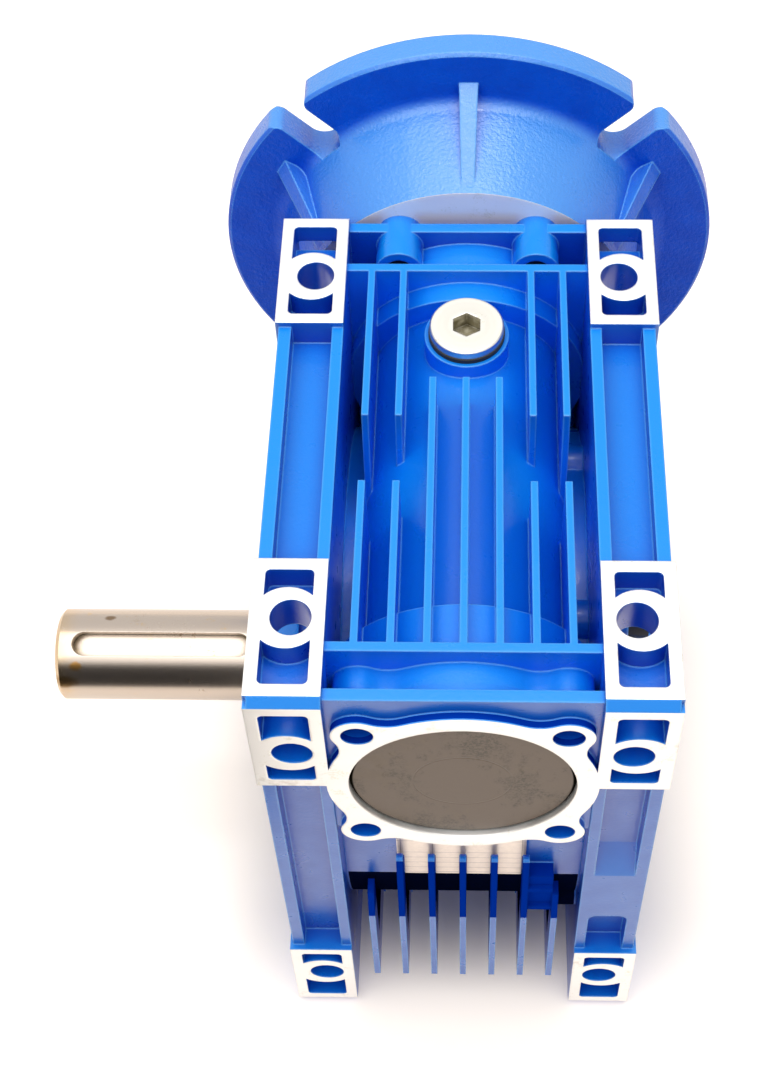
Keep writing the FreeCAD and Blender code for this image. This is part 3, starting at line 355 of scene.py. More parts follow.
def buildSoftEdge(values):
    # Rounds the edges that the solid has sharp, and gives a mask that is 1 where an edge is rounded
    tree, given, result = newGroup(
        "softEdge",
        [("Radius", "value", 0.0006), ("Skip", "value", 0.0)],
        [("Normal", "vector"), ("Edge", "value")],
    )
    bevel = tree.nodes.new("ShaderNodeBevel")
    bevel.samples = values["samples"]
    feed(tree, bevel.inputs["Radius"], given["Radius"])
    rounded = bevel.outputs["Normal"]
    plain = tree.nodes.new("ShaderNodeNewGeometry").outputs["Normal"]
    feed(tree, result["Normal"], addMix(tree, given["Skip"], rounded, plain, "VECTOR"))
    bent = addRange(tree, addVector(tree, "DOT_PRODUCT", rounded, plain), *values["bend"])
    feed(tree, result["Edge"], times(tree, bent, addMath(tree, "SUBTRACT", 1.0, given["Skip"])))
    return tree


def buildBored():
    # 1 nearer an axis than Radius and further than Start along Past, where Across is 0 along the axis
    tree, given, result = newGroup(
        "boredFaces",
        [("Where", "vector", (0, 0, 0)), ("Centre", "vector", (0, 0, 0)), ("Across", "vector", (1, 0, 1)),
         ("Past", "vector", (0, 1, 0)), ("Radius", "value", 0.03), ("Start", "value", 0.0)],
        [("Mask", "value")],
    )
    offset = addVector(tree, "SUBTRACT", given["Where"], given["Centre"])
    radius = addVector(tree, "LENGTH", addVector(tree, "MULTIPLY", offset, given["Across"]))
    along = addVector(tree, "DOT_PRODUCT", offset, given["Past"])
    inside = addMath(tree, "LESS_THAN", radius, given["Radius"])
    beyond = addMath(tree, "GREATER_THAN", along, given["Start"])
    feed(tree, result["Mask"], times(tree, inside, beyond))
    return tree


machinedPattern = {"square": 0.85}  # the least cosine between a cut face's normal and its axis


def buildMachined(values):
    # 1 on flat faces past a reach from a centre along X, Y or Z, where a cutter has taken the paint off
    tree, given, result = newGroup(
        "machinedFaces",
        [("Where", "vector", (0, 0, 0)), ("Centre", "vector", (0, 0, 0)), ("Reach", "vector", (1, 1, 1))],
        [("Mask", "value")],
    )
    offset = addVector(tree, "ABSOLUTE", addVector(tree, "SUBTRACT", given["Where"], given["Centre"]))
    past = split(tree, addVector(tree, "SUBTRACT", offset, given["Reach"]))
    normal = tree.nodes.new("ShaderNodeNewGeometry").outputs["True Normal"]
    facing = split(tree, addVector(tree, "ABSOLUTE", normal))
    masks = []
    for axis in "XYZ":
        beyond = addMath(tree, "GREATER_THAN", past[axis], 0.0)
        square = addMath(tree, "GREATER_THAN", facing[axis], values["square"])
        masks.append(times(tree, beyond, square))
    feed(tree, result["Mask"], gather(tree, "MAXIMUM", masks))
    return tree


ringPattern = {
    "fineDetail": 1.0,
    "wideDetail": 2.0,
    "wideScale": 0.12,  # as a share of the fine pitch
}


def buildTurnedRings(values):
    # Rings round an axis, as a lathe tool leaves: a fine and a wide noise of the distance from the axis
    tree, given, result = newGroup(
        "turnedRings",
        [("Where", "vector", (0, 0, 0)), ("Centre", "vector", (0, 0, 0)), ("Across", "vector", (1, 0, 1)),
         ("Pitch", "value", 2500.0)],
        [("Height", "value"), ("Wide", "value")],
    )
    offset = addVector(tree, "SUBTRACT", given["Where"], given["Centre"])
    radius = addVector(tree, "LENGTH", addVector(tree, "MULTIPLY", offset, given["Across"]))
    along = tree.nodes.new("ShaderNodeCombineXYZ")
    feed(tree, along.inputs["X"], radius)
    feed(tree, result["Height"], addNoise(tree, along.outputs[0], given["Pitch"], values["fineDetail"]))
    wide = times(tree, given["Pitch"], values["wideScale"])
    feed(tree, result["Wide"], addNoise(tree, along.outputs[0], wide, values["wideDetail"]))
    return tree


stainPattern = {
    "large": {"detail": 4.0, "roughness": 0.6},
    "small": {"detail": 3.0, "roughness": 0.65},
    "smallScale": 9.0,  # as a multiple of the large scale
    "largeShare": 0.65,
    "smallShare": 0.35,
    "fade": 0.1,
}


def buildStains(values):
    # Patches that gather in spots: a large and a small noise added by their shares and cut at a level
    tree, given, result = newGroup(
        "stains",
        [("Where", "vector", (0, 0, 0)), ("Size", "value", 60.0), ("Level", "value", 0.55)],
        [("Mask", "value")],
    )
    smallSize = times(tree, given["Size"], values["smallScale"])
    large = addNoise(tree, given["Where"], given["Size"], **values["large"])
    small = addNoise(tree, given["Where"], smallSize, **values["small"])
    both = addShares(tree, large, values["largeShare"], small, values["smallShare"])
    high = addMath(tree, "ADD", given["Level"], values["fade"])
    feed(tree, result["Mask"], addRange(tree, both, given["Level"], high))
    return tree


def buildTopLightFilm():
    # Painted top light: 1 on faces that look up, from Low to High in the Z of their normal
    tree, given, result = newGroup(
        "topLightFilm", [("Low", "value", 0.2), ("High", "value", 0.95)], [("Mask", "value")],
    )
    feed(tree, result["Mask"], addUpward(tree, given["Low"], given["High"]))
    return tree


shelterSamples = {"recess": 4, "crease": 8}


def buildShelter(name, samples):
    # Mask for painted shade: 0 in the open, and up to Depth where other faces within Reach close a place in
    tree, given, result = newGroup(
        name,
        [("Reach", "value", 0.01), ("Closed", "value", 0.2), ("Open", "value", 0.8),
         ("Depth", "value", 1.0)],
        [("Mask", "value")],
    )
    sheltered = tree.nodes.new("ShaderNodeAmbientOcclusion")
    sheltered.samples = samples
    feed(tree, sheltered.inputs["Distance"], given["Reach"])
    mask = addRange(tree, sheltered.outputs["AO"], given["Closed"], given["Open"], given["Depth"], 0.0)
    feed(tree, result["Mask"], mask)
    return tree


endPattern = {
    "cloud": {"scale": 260.0, "detail": 4.0, "roughness": 0.6},
    "cloudLevels": (0.3, 0.6),
    "cloudLeast": 0.55,
}


def buildEndStainAndShade(values, bored):
    # Darker colour nearer an axis than Radius that grows from Low to High along Past, clouded by a noise: a
    # stain on the shaft's end, painted shade in the plug's socket
    tree, given, result = newGroup(
        "endStainAndShade",
        [("Where", "vector", (0, 0, 0)), ("Centre", "vector", (0, 0, 0)), ("Across", "vector", (1, 0, 1)),
         ("Past", "vector", (0, 1, 0)), ("Radius", "value", 0.03), ("Low", "value", 0.0),
         ("High", "value", 0.01), ("Amount", "value", 1.0)],
        [("Mask", "value"), ("Cloud", "value")],
    )
    inside = useGroup(tree, bored, Where=given["Where"], Centre=given["Centre"], Across=given["Across"],
                      Past=given["Past"], Radius=given["Radius"], Start=-1.0)["Mask"]
    offset = addVector(tree, "SUBTRACT", given["Where"], given["Centre"])
    along = addVector(tree, "DOT_PRODUCT", offset, given["Past"])
    deep = addRange(tree, along, given["Low"], given["High"])
    noise = addNoise(tree, given["Where"], **values["cloud"])
    cloud = addRange(tree, noise, *values["cloudLevels"], values["cloudLeast"], 1.0)
    feed(tree, result["Mask"], times(tree, times(tree, inside, deep), times(tree, cloud, given["Amount"])))
    feed(tree, result["Cloud"], cloud)
    return tree


castSkin = buildCastSkin(skinPattern)
softEdge = buildSoftEdge(edgePattern)
boredFaces = buildBored()
machinedFaces = buildMachined(machinedPattern)
turnedRings = buildTurnedRings(ringPattern)
stains = buildStains(stainPattern)
topLightFilm = buildTopLightFilm()
recessShade = buildShelter("recessShade", shelterSamples["recess"])
creaseShade = buildShelter("creaseShade", shelterSamples["crease"])
endStainAndShade = buildEndStainAndShade(endPattern, boredFaces)
print("node groups made:", len(bpy.data.node_groups))


# Axes that pieces are turned on: a place on each, and what is 0 along it and 1 across it
axes = {
    "Worm": {"Centre": (0.0, 0.0, 0.161), "Across": (1.0, 0.0, 1.0)},
    "Output": {"Centre": (0.0, 0.0, 0.086), "Across": (0.0, 1.0, 1.0)},
    "Filler": {"Centre": (0.0, 0.045, 0.196), "Across": (1.0, 1.0, 0.0)},
}

# Bores that a cutter leaves bare
nearBore = {**axes["Worm"], "Past": (0.0, -1.0, 0.0), "Radius": 0.0327, "Start": 0.0515}
farBore = {**axes["Worm"], "Past": (0.0, 1.0, 0.0), "Radius": 0.0327, "Start": 0.0575}
flangePilot = {**axes["Worm"], "Past": (0.0, 1.0, 0.0), "Radius": 0.0555, "Start": 0.1215}
sealBore = {**axes["Output"], "Past": (0.0, 1.0, 0.0), "Radius": 0.0365, "Start": -1.0}

# Boxes on the casing, each a centre and half sizes. The last three get painted shade.
boxes = {
    "flush": ((0.036, 0.086, 0.161), (0.0012, 0.0006, 0.0095)),  # where casing nodes meet in one face
    "well": ((0.0, 0.0, 0.16), (0.0365, 0.075, 0.045)),  # deep space between the beams, where the recesses get painted light
    "underLabel": ((0.0, -0.066, 0.061), (0.0355, 0.0108, 0.0222)),  # round foot of the wall, with a near-black painted shadow
    "finSlopes": ((0.0, -0.0815, 0.085), (0.0335, 0.0051, 0.0172)),  # upper halves of the near fins
    "underLedge": ((0.0, -0.0847, 0.187), (0.0355, 0.0009, 0.0135)),  # top of the end ring
}

# The castings: centre and reach of the machined faces, the bores, the scale and depth of the cast skin, and
# specular and coat for upright faces and for faces that look up. Only the casing has the boxes.
castings = {
    "enamelCasing": {
        "centre": (0.0, 0.0, 0.1025), "reach": (0.0569, 0.0859, 0.1024),
        "bores": (nearBore, farBore, sealBore),
        "grain": 800.0, "skinDepth": 0.0001, "metallic": 0.85, "specular": (1.0, 0.36), "coat": (0.06, 0.06),
        "paints": ("deepBlue", "blue", "topLitBlue"), "boxed": True,
    },
    "enamelCover": {
        "centre": (0.0, 0.0, 0.086), "reach": (0.0569, 1.0, 1.0), "bores": (sealBore,),
        "grain": 800.0, "skinDepth": 0.0001, "metallic": 0.85, "specular": (1.0, 0.36), "coat": (0.06, 0.06),
        "paints": ("deepBlue", "blue", "topLitBlue"), "boxed": False,
    },
    "enamelFlange": {
        "centre": (0.0, 0.106, 0.161), "reach": (1.0, 0.0199, 1.0), "bores": (flangePilot,),
        "grain": 900.0, "skinDepth": 0.0005, "metallic": 0.4, "specular": (0.15, 0.8), "coat": (0.0, 0.3),
        "paints": ("flangeDeepBlue", "flangeBlue", "topLitFlangeBlue"), "boxed": False,
    },
}

# Blue enamel over the castings, with the machined faces left bare
enamel = {
    "blue": (0.001, 0.12, 0.52),
    "deepBlue": (0.001, 0.10, 0.47),
    # painted top light: a lighter blue on faces that look up
    "topLitBlue": (0.001, 0.245, 0.78),
    "flangeBlue": (0.001, 0.085, 0.63),
    "flangeDeepBlue": (0.001, 0.07, 0.56),
    # painted top light on the flange's faces that look up
    "topLitFlangeBlue": (0.045, 0.27, 0.74),
    # painted shade in holes, pockets and corners
    "recessShadeBlue": (0.001, 0.04, 0.5),
    # in the deep space between the beams: painted light on the recesses' walls, and a lighter painted shade
    # on their floor
    "wellLitBlue": (0.0, 0.2, 1.0),
    "wellFloor": (0.0, 0.11, 0.58),
    # edges: rubbed paint and a painted highlight
    "wornHighlightBlue": (0.12, 0.46, 0.98),
    "shadeBlue": (0.0005, 0.02, 0.3),
    # near-black painted shadow at the foot of the front wall
    "footShadow": (0.002, 0.003, 0.006),
    "bare": (0.92, 0.9, 0.87),
    "bareShade": (0.6, 0.55, 0.48),
    "grease": (0.42, 0.36, 0.12),
    "wave": 110.0,
    # faces that look up, as the Z of their normal, from no painted top light to full
    "upwardLevels": {"Low": 0.2, "High": 0.95},
    "recess": {"Reach": 0.03, "Closed": 0.15, "Open": 0.85, "Depth": 0.8},
    "edgeRadius": 0.0009,
    # how much of the paler edge, in the open and in painted shade
    "wornHighlight": 0.75,
    "wornHighlightInShade": 0.15,
    # strength of the painted shade in the boxes and of the painted shadow at the foot of the wall
    "shadeDepth": 0.92,
    "footShadowDepth": 0.95,
    "dirt": {"Size": 45.0, "Level": 0.58},
    "dirtDepth": 0.45,
    "oil": {"Size": 160.0, "Level": 0.56},
    "oilDepth": 0.25,
    "gloss": 0.27,
    "glossSpread": 0.06,
    "coatRoughness": 0.08,
    "cutPitch": 2600.0,
    "cutLevels": (0.3, 0.7),
    "cutDepth": 0.1,  # of the cutter's marks, against the paint's grain
    "bareRoughness": 0.46,
    "bareSpread": 0.08,
    "bareGrain": 0.12,  # share of the paint's grain that bare metal keeps
}


def makeEnamel(name, casting):
    material, tree, shader = newMaterial(name)
    where = objectPlace(tree)
    boxed = casting["boxed"]
    skin = useGroup(tree, castSkin, Where=where, Grain=casting["grain"], Wave=enamel["wave"])
    # the flush faces are on both sides of X = 0 and Y = 0
    skip = addBox(tree, addVector(tree, "ABSOLUTE", where), *boxes["flush"]) if boxed else 0.0
    edge = useGroup(tree, softEdge, Radius=enamel["edgeRadius"], Skip=skip)
    cutFaces = useGroup(tree, machinedFaces, Where=where, Centre=casting["centre"], Reach=casting["reach"])
    bored = [useGroup(tree, boredFaces, Where=where, **bore)["Mask"] for bore in casting["bores"]]
    bare = gather(tree, "MAXIMUM", [cutFaces["Mask"], *bored])
    # rings round the middle of the casting on each cut face
    marks = useGroup(tree, turnedRings, Where=where, Centre=casting["centre"], Across=(1.0, 1.0, 1.0),
                     Pitch=enamel["cutPitch"])
    dirt = useGroup(tree, stains, Where=where, **enamel["dirt"])["Mask"]
    oil = useGroup(tree, stains, Where=where, **enamel["oil"])["Mask"]

    # painted top light pales the faces that look up, and painted shade deepens the blue in holes, pockets
    # and corners
    deepPaint, plainPaint, topLitPaint = [enamel[paintName] for paintName in casting["paints"]]
    upward = useGroup(tree, topLightFilm, **enamel["upwardLevels"])["Mask"]
    recess = useGroup(tree, recessShade, **enamel["recess"])["Mask"]
    paint = addMix(tree, upward, addMix(tree, skin["Mottle"], deepPaint, plainPaint), topLitPaint)
    deep = enamel["recessShadeBlue"]
    # painted light in the recesses of the deep space between the beams: bright on the walls, less dark on
    # the floor
    if boxed:
        inside = addMix(tree, upward, enamel["wellLitBlue"], enamel["wellFloor"])
        deep = addMix(tree, addBox(tree, where, *boxes["well"]), deep, inside)
    paint = addMix(tree, recess, paint, deep)

    # edges are paler, from rubbed paint and a painted highlight, less so in painted shade
    wornHighlight = enamel["wornHighlight"]
    if boxed:
        # painted shade in the boxes: a near-black shadow at the foot of the wall, shade on the fin slopes
        # and on top of the end ring
        shadowedFoot = addBox(tree, where, *boxes["underLabel"])
        onFins = addBox(tree, where, *boxes["finSlopes"])
        onRing = addBox(tree, where, *boxes["underLedge"])
        shaded = gather(tree, "MAXIMUM", [shadowedFoot, onFins, onRing])
        wornHighlight = addFade(tree, shaded, wornHighlight, enamel["wornHighlightInShade"])
    paint = addMix(tree, times(tree, edge["Edge"], wornHighlight), paint, enamel["wornHighlightBlue"])
    if boxed:
        # the painted shade and the painted shadow go over the paint
        paint = addMix(tree, times(tree, shaded, enamel["shadeDepth"]), paint, enamel["shadeBlue"])
        paint = addMix(tree, times(tree, shadowedFoot, enamel["footShadowDepth"]), paint, enamel["footShadow"])

    metal = addMix(tree, times(tree, dirt, enamel["dirtDepth"]), enamel["bare"], enamel["bareShade"])
    metal = addMix(tree, times(tree, oil, enamel["oilDepth"]), metal, enamel["grease"])
    feed(tree, shader.inputs["Base Color"], addMix(tree, bare, paint, metal))
    feed(tree, shader.inputs["Metallic"], times(tree, bare, casting["metallic"]))

    matt = addFade(tree, skin["Mottle"], enamel["gloss"] + enamel["glossSpread"], enamel["gloss"])
    cut = addRange(tree, marks["Wide"], *enamel["cutLevels"], enamel["bareRoughness"] - enamel["bareSpread"],
                   enamel["bareRoughness"] + enamel["bareSpread"], smooth=False)
    feed(tree, shader.inputs["Roughness"], addMix(tree, bare, matt, cut, "FLOAT"))

    # no gloss at all in shade, and no coat there or on bare metal
    facingUp = addUpward(tree, enamel["upwardLevels"]["Low"], enamel["upwardLevels"]["High"])
    shine = addFade(tree, facingUp, *casting["specular"])
    dull = bare
    if boxed:
        shine = addFade(tree, shaded, shine, 0.0)
        dull = addMath(tree, "MAXIMUM", bare, shaded)
    feed(tree, shader.inputs["Specular IOR Level"], shine)
    film = addFade(tree, upward, *casting["coat"])
    feed(tree, shader.inputs["Coat Weight"], addFade(tree, dull, film, 0.0))
    feed(tree, shader.inputs["Coat Roughness"], enamel["coatRoughness"])

    peel = times(tree, skin["Height"], addFade(tree, bare, 1.0, enamel["bareGrain"]))
    scored = times(tree, marks["Height"], times(tree, bare, enamel["cutDepth"]))
    height = addMath(tree, "ADD", peel, scored)
    feed(tree, shader.inputs["Normal"], addBump(tree, height, casting["skinDepth"], edge["Normal"]))
    return material


# Metals, rubber and plastic, each with its colour and the colour, scale and level of its stains
metals = {
    "groundSteel": {
        "colour": (0.54, 0.46, 0.39), "stain": (0.3, 0.17, 0.07), "stains": {"Size": 48.0, "Level": 0.6},
        "roughness": 0.22, "metallic": 1.0,
    },
    "bearingSteel": {
        "colour": (0.72, 0.72, 0.73), "stain": (0.5, 0.48, 0.45), "stains": {"Size": 60.0, "Level": 0.62},
        "roughness": 0.18, "metallic": 1.0,
    },
    "zincSteel": {
        "colour": (0.86, 0.83, 0.74), "stain": (0.45, 0.4, 0.28), "stains": {"Size": 120.0, "Level": 0.6},
        "roughness": 0.32, "metallic": 1.0,
    },
    "blackSteel": {
        "colour": (0.035, 0.035, 0.038), "stain": (0.12, 0.09, 0.07),
        "stains": {"Size": 90.0, "Level": 0.62}, "roughness": 0.42, "metallic": 0.6,
    },
    "bronze": {
        "colour": (0.72, 0.47, 0.22), "stain": (0.38, 0.22, 0.09), "stains": {"Size": 60.0, "Level": 0.58},
        "roughness": 0.3, "metallic": 1.0,
    },
    "castIron": {
        "colour": (0.24, 0.24, 0.25), "stain": (0.13, 0.1, 0.08), "stains": {"Size": 80.0, "Level": 0.56},
        "roughness": 0.5, "metallic": 0.9,
    },
    "blackRubber": {
        "colour": (0.018, 0.018, 0.017), "stain": (0.06, 0.055, 0.05),
        "stains": {"Size": 110.0, "Level": 0.6}, "roughness": 0.6, "metallic": 0.0,
    },
    "cagePlastic": {
        "colour": (0.72, 0.66, 0.5), "stain": (0.5, 0.42, 0.25), "stains": {"Size": 70.0, "Level": 0.6},
        "roughness": 0.45, "metallic": 0.0,
    },
}

# What they all share
turned = {
    "stainDepth": 0.6,
    "stainRoughness": 0.2,
    "edgeRadius": 0.0004,
    "ringPitch": 3200.0,
    "ringLevels": (0.3, 0.7),
    "ringDepth": 0.00001,
    "smoother": 0.05,
    "rougher": 0.07,
}

# Single pieces that are marked: the shaft stained at its outer end, with small spots and three ragged drops,
# each a centre, half sizes and a colour, and the plug with painted shade deeper in its socket. Both get
# painted shade in creases
marked = {
    "output_shaft": {
        "end": {"Centre": (-0.1335, 0.0, 0.086), "Past": (-1.0, 0.0, 0.0), "Radius": 0.03,
                "Low": -0.0085, "High": 0.0015, "Amount": 0.7},
        "colour": (0.6, 0.42, 0.22),
        "spots": {"Size": 150.0, "Level": 0.585},
        "crease": {"Reach": 0.005, "Closed": 0.4, "Open": 0.72, "Depth": 0.95},
        # painted shade in the keyway's creases
        "creaseShadeColour": (0.05, 0.034, 0.012),
        "drops": (
            ((-0.1166, 0.0053, 0.1), (0.0021, 0.0016, 0.0011), (0.2, 0.12, 0.06)),
            ((-0.1268, -0.011, 0.0962), (0.0024, 0.0019, 0.0019), (0.6, 0.3, 0.05)),
            ((-0.1312, -0.0140, 0.0914), (0.0055, 0.0030, 0.0030), (0.3, 0.17, 0.05)),
        ),
    },
    "filler_plug": {
        # painted shade, darker deeper in the hex socket
        "end": {"Centre": (0.0, 0.045, 0.2005), "Past": (0.0, 0.0, -1.0), "Radius": 0.00475,
                "Low": 0.0003, "High": 0.0022, "Amount": 0.9},
        "colour": (0.16, 0.14, 0.08),
        "spots": None,
        "crease": {"Reach": 0.002, "Closed": 0.4, "Open": 0.72, "Depth": 0.5},
        # painted shade in the corners of the socket
        "creaseShadeColour": (0.05, 0.04, 0.02),
        "drops": (),
    },
}

# What the marks share
markLook = {
    "spotDepth": 0.9,
    "ragged": 0.5,  # how far the cloud eats into a drop, in half sizes
    "dropLevels": (1.5, 0.9),
    "dropDepth": 0.85,
}


def addMark(tree, where, colour, axis, mark):
    end = useGroup(tree, endStainAndShade, Where=where, Across=axis["Across"], **mark["end"])
    colour = addMix(tree, end["Mask"], colour, mark["colour"])
    if mark["spots"]:
        spots = useGroup(tree, stains, Where=where, **mark["spots"])["Mask"]
        colour = addMix(tree, times(tree, spots, markLook["spotDepth"]), colour, mark["colour"])
    for place, size, tint in mark["drops"]:
        # length((where - place) / size), made ragged by the cloud: full near 1 and gone past it
        apart = addVector(tree, "DIVIDE", addVector(tree, "SUBTRACT", where, place), size)
        bitten = times(tree, end["Cloud"], markLook["ragged"])
        ragged = addMath(tree, "ADD", addVector(tree, "LENGTH", apart), bitten)
        drop = addRange(tree, ragged, *markLook["dropLevels"], 0.0, markLook["dropDepth"])
        colour = addMix(tree, drop, colour, tint)
    # painted shade in creases
    crease = useGroup(tree, creaseShade, **mark["crease"])["Mask"]
    return addMix(tree, crease, colour, mark["creaseShadeColour"])


def makeMetal(name, values, axis, mark=None):
    material, tree, shader = newMaterial(name)
    where = objectPlace(tree)
    rings = useGroup(tree, turnedRings, Where=where, Pitch=turned["ringPitch"], **axis)
    dirt = useGroup(tree, stains, Where=where, **values["stains"])["Mask"]
    edge = useGroup(tree, softEdge, Radius=turned["edgeRadius"])
    colour = addMix(tree, times(tree, dirt, turned["stainDepth"]), values["colour"], values["stain"])
    if mark:
        colour = addMark(tree, where, colour, axis, mark)
    feed(tree, shader.inputs["Base Color"], colour)
    feed(tree, shader.inputs["Metallic"], values["metallic"])
    lathed = addRange(tree, rings["Wide"], *turned["ringLevels"], values["roughness"] - turned["smoother"],
                      values["roughness"] + turned["rougher"], smooth=False)
    rough = addMath(tree, "ADD", lathed, times(tree, dirt, turned["stainRoughness"]))
    feed(tree, shader.inputs["Roughness"], rough)
    feed(tree, shader.inputs["Normal"], addBump(tree, rings["Height"], turned["ringDepth"], edge["Normal"]))
    return material


# Rubber-faced cap in the end ring
cap = {
    "colour": (0.128, 0.09, 0.062),
    "smear": (0.175, 0.135, 0.098),
    "smears": {"Size": 38.0, "Level": 0.52},
    "smearDepth": 0.6,
    "scuff": (0.045, 0.034, 0.018),
    "scuffs": {"Size": 48.0, "Level": 0.5},
    "scuffStretch": (1.0, 1.0, 0.6),
    "scuffDepth": 0.85,
    "specks": {"scale": 1500.0, "detail": 4.0, "roughness": 0.7},
    "speckLevels": (0.4, 0.6),
    # near-black painted shadow in the groove round the rim
    "rim": (0.008, 0.007, 0.005),
    "rimStart": 0.0299,
    "rimFade": 0.0002,
    "specular": 0.4,
    "roughness": 0.42,
    "smearRoughness": 0.15,
    "edgeRadius": 0.0005,
    "ringPitch": 1500.0,
    "ringShare": 0.5,  # against the scored circle
    "circle": 0.0135,
    "circleWidth": 0.0004,
    "depth": 0.0001,
}


def makeCapRubber(values, axis):
    material, tree, shader = newMaterial("capRubber")
    where = objectPlace(tree)
    rings = useGroup(tree, turnedRings, Where=where, Pitch=values["ringPitch"], **axis)
    smear = useGroup(tree, stains, Where=where, **values["smears"])["Mask"]
    edge = useGroup(tree, softEdge, Radius=values["edgeRadius"])
    colour = addMix(tree, times(tree, smear, values["smearDepth"]), values["colour"], values["smear"])
    # scuffs are specks of a fine noise gathered where a wide one is high, and the rim gets a near-black
    # painted shadow of its groove
    stretched = addVector(tree, "MULTIPLY", where, values["scuffStretch"])
    scuff = useGroup(tree, stains, Where=stretched, **values["scuffs"])["Mask"]
    specks = addRange(tree, addNoise(tree, where, **values["specks"]), *values["speckLevels"])
    scuffed = times(tree, times(tree, scuff, specks), values["scuffDepth"])
    colour = addMix(tree, scuffed, colour, values["scuff"])
    offset = addVector(tree, "SUBTRACT", where, axis["Centre"])
    radius = addVector(tree, "LENGTH", addVector(tree, "MULTIPLY", offset, axis["Across"]))
    rimLevels = (values["rimStart"] - values["rimFade"], values["rimStart"] + values["rimFade"])
    rim = addRange(tree, radius, *rimLevels)
    feed(tree, shader.inputs["Base Color"], addMix(tree, rim, colour, values["rim"]))
    feed(tree, shader.inputs["Specular IOR Level"], addFade(tree, rim, values["specular"], 0.0))
    rough = addFade(tree, smear, values["roughness"], values["roughness"] + values["smearRoughness"])
    feed(tree, shader.inputs["Roughness"], rough)
    away = addMath(tree, "ABSOLUTE", addMath(tree, "SUBTRACT", radius, values["circle"]))
    scored = addRange(tree, away, values["circleWidth"], 0.0)
    height = addMath(tree, "SUBTRACT", times(tree, rings["Wide"], values["ringShare"]), scored)
    feed(tree, shader.inputs["Normal"], addBump(tree, height, values["depth"], edge["Normal"]))
    return material


finishes = {castingName: makeEnamel(castingName, casting) for castingName, casting in castings.items()}
finishes["capRubber"] = makeCapRubber(cap, axes["Worm"])
coated = {"side_cover": "enamelCover", "motor_flange": "enamelFlange", "end_cap": "capRubber"}


def metalOf(node):
    if node == "wheel_rim":
        return "bronze"
    if node == "wheel_hub":
        return "castIron"
    if node in ("output_shaft", "worm_shaft", "output_key"):
        return "groundSteel"
    if "bearing" in node:
        return "cagePlastic" if node.endswith("cage") else "bearingSteel"
    if node in ("filler_plug", "drain_plug", "output_washer", "output_bolt"):
        return "zincSteel"
    if node.endswith("screws") or "circlip" in node:
        return "blackSteel"
    return "blackRubber"


def finishFor(node):
    if node.startswith("casing"):
        return finishes["enamelCasing"]
    if node in coated:
        return finishes[coated[node]]
    metal = metalOf(node)
    axis = "Filler" if "plug" in node else "Output" if node.startswith(("output", "wheel")) else "Worm"
    mark = marked.get(node)
    name = metal + axis + ("Marked" if mark else "")
    if name not in finishes:
        finishes[name] = makeMetal(name, metals[metal], axes[axis], mark)
    return finishes[name]


for nodeName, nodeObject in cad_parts.items():
    for materialSlot in nodeObject.material_slots:
        materialSlot.material = finishFor(nodeName)
print("finishes made:", len(finishes))


# Blank label plate on the wall behind the fins
label = {
    "left": -0.0200,
    "right": 0.0190,
    "bottom": 0.0835,
    "top": 0.1075,
    "face": -0.0763,
    "thickness": 0.0003,
    "finsEachSide": 3,
    "finPitch": 0.0095,
    "finRoom": 0.0024,
    "slotTop": 0.0966,
    "cream": (0.95, 0.83, 0.72),
    "fibre": {"scale": 700.0, "detail": 3.0, "roughness": 0.6},
    "fibreLevels": (0.3, 0.7),
    "fibreShade": 0.93,
    "fibreDepth": 0.00002,
    "line": (0.30, 0.24, 0.24),
    "lineDepth": 0.7,
    "frameInset": 0.0012,
    "frameHalf": 0.00012,  # half width of the frame's lines
    "ruleHalf": 0.0001,  # and of the rules inside it
    "rows": (0.0880, 0.0915, 0.0950, 0.0985),
    "column": -0.0092,
    "roughness": 0.32,
    "metallic": 0.6,
}


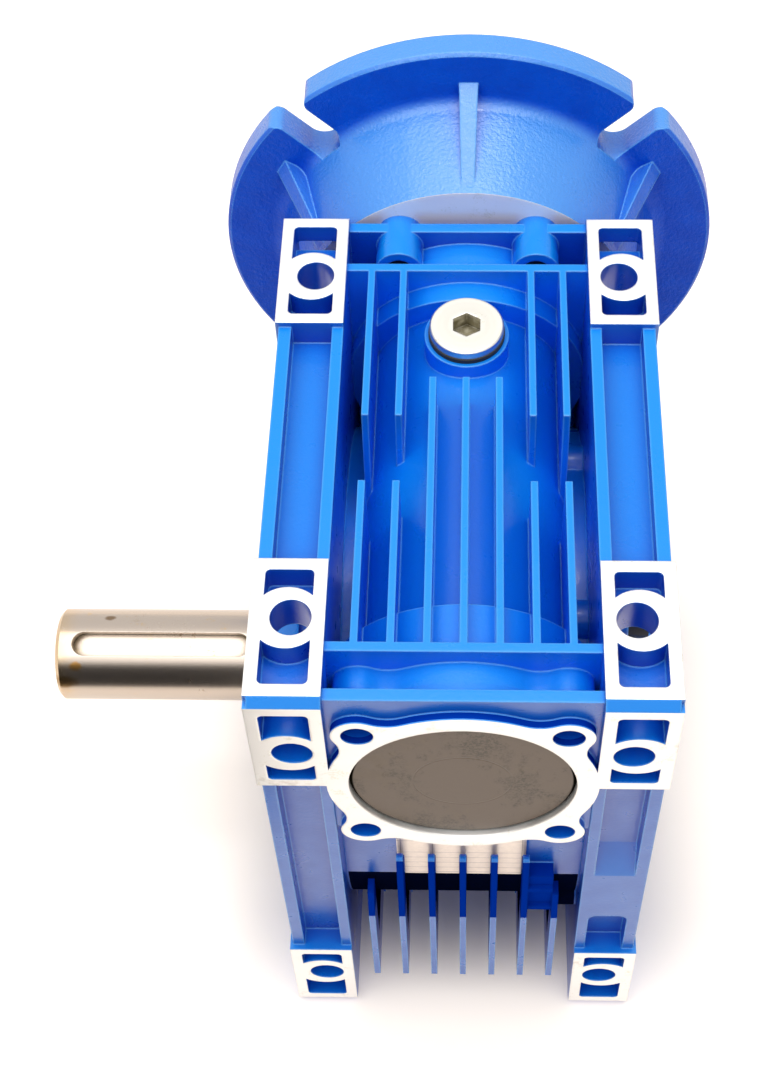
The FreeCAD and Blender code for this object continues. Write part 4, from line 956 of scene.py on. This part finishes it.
def makeLabelFinish(values):
    material, tree, shader = newMaterial("labelCream")
    where = objectPlace(tree)
    parts = split(tree, where)

    def addLine(distance, half):
        return addMath(tree, "LESS_THAN", addMath(tree, "ABSOLUTE", distance), half)

    # a printed frame a little inside the edges, four rules across it and one up it
    lines = []
    for axis, low, high in (("X", "left", "right"), ("Z", "bottom", "top")):
        middle = (values[low] + values[high]) / 2
        reach = (values[high] - values[low]) / 2 - values["frameInset"]
        distance = addMath(tree, "ABSOLUTE", addMath(tree, "SUBTRACT", parts[axis], middle))
        lines.append(addLine(addMath(tree, "SUBTRACT", distance, reach), values["frameHalf"]))
    for height in values["rows"]:
        lines.append(addLine(addMath(tree, "SUBTRACT", parts["Z"], height), values["ruleHalf"]))
    lines.append(addLine(addMath(tree, "SUBTRACT", parts["X"], values["column"]), values["ruleHalf"]))
    printed = times(tree, gather(tree, "MAXIMUM", lines), values["lineDepth"])

    fibre = addNoise(tree, where, **values["fibre"])
    shaded = tuple(part * values["fibreShade"] for part in values["cream"])
    tint = addMix(tree, addRange(tree, fibre, *values["fibreLevels"]), values["cream"], shaded)
    feed(tree, shader.inputs["Base Color"], addMix(tree, printed, tint, values["line"]))
    feed(tree, shader.inputs["Roughness"], values["roughness"])
    feed(tree, shader.inputs["Metallic"], values["metallic"])
    feed(tree, shader.inputs["Normal"], addBump(tree, fibre, values["fibreDepth"]))
    return material


def makeLabel(values):
    # A flat grid in X and Z at one Y, with slots left out where the fins stand, and thickened by Solidify
    halfRoom = values["finRoom"] / 2
    fins = np.arange(-values["finsEachSide"], values["finsEachSide"] + 1) * values["finPitch"]
    edges = np.concatenate([fins - halfRoom, fins + halfRoom])
    inside = edges[(edges > values["left"]) & (edges < values["right"])]
    across = np.unique(np.concatenate([[values["left"], values["right"]], inside]))
    heights = np.array([values["bottom"], values["slotTop"], values["top"]])
    gridX, gridZ = np.meshgrid(across, heights)
    points = np.stack([gridX.ravel(), np.full(gridX.size, values["face"]), gridZ.ravel()], 1)
    columns = len(across)
    row, column = np.meshgrid(np.arange(len(heights) - 1), np.arange(columns - 1), indexing="ij")
    first = (row * columns + column).ravel()
    quads = np.stack([first, first + 1, first + columns + 1, first + columns], 1)
    middle = (across[:-1] + across[1:]) / 2
    overFin = (np.abs(middle[:, None] - fins[None, :]) < halfRoom).any(1)
    keep = ~((row.ravel() == 0) & overFin[column.ravel()])
    plate = newSurface("labelPlate", points.tolist(), quads[keep].tolist(), makeLabelFinish(values))
    thicken = plate.modifiers.new("thickness", "SOLIDIFY")
    thicken.thickness = values["thickness"]
    thicken.offset = -1.0
    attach(plate, "housing")


makeLabel(label)
print("label plate made")
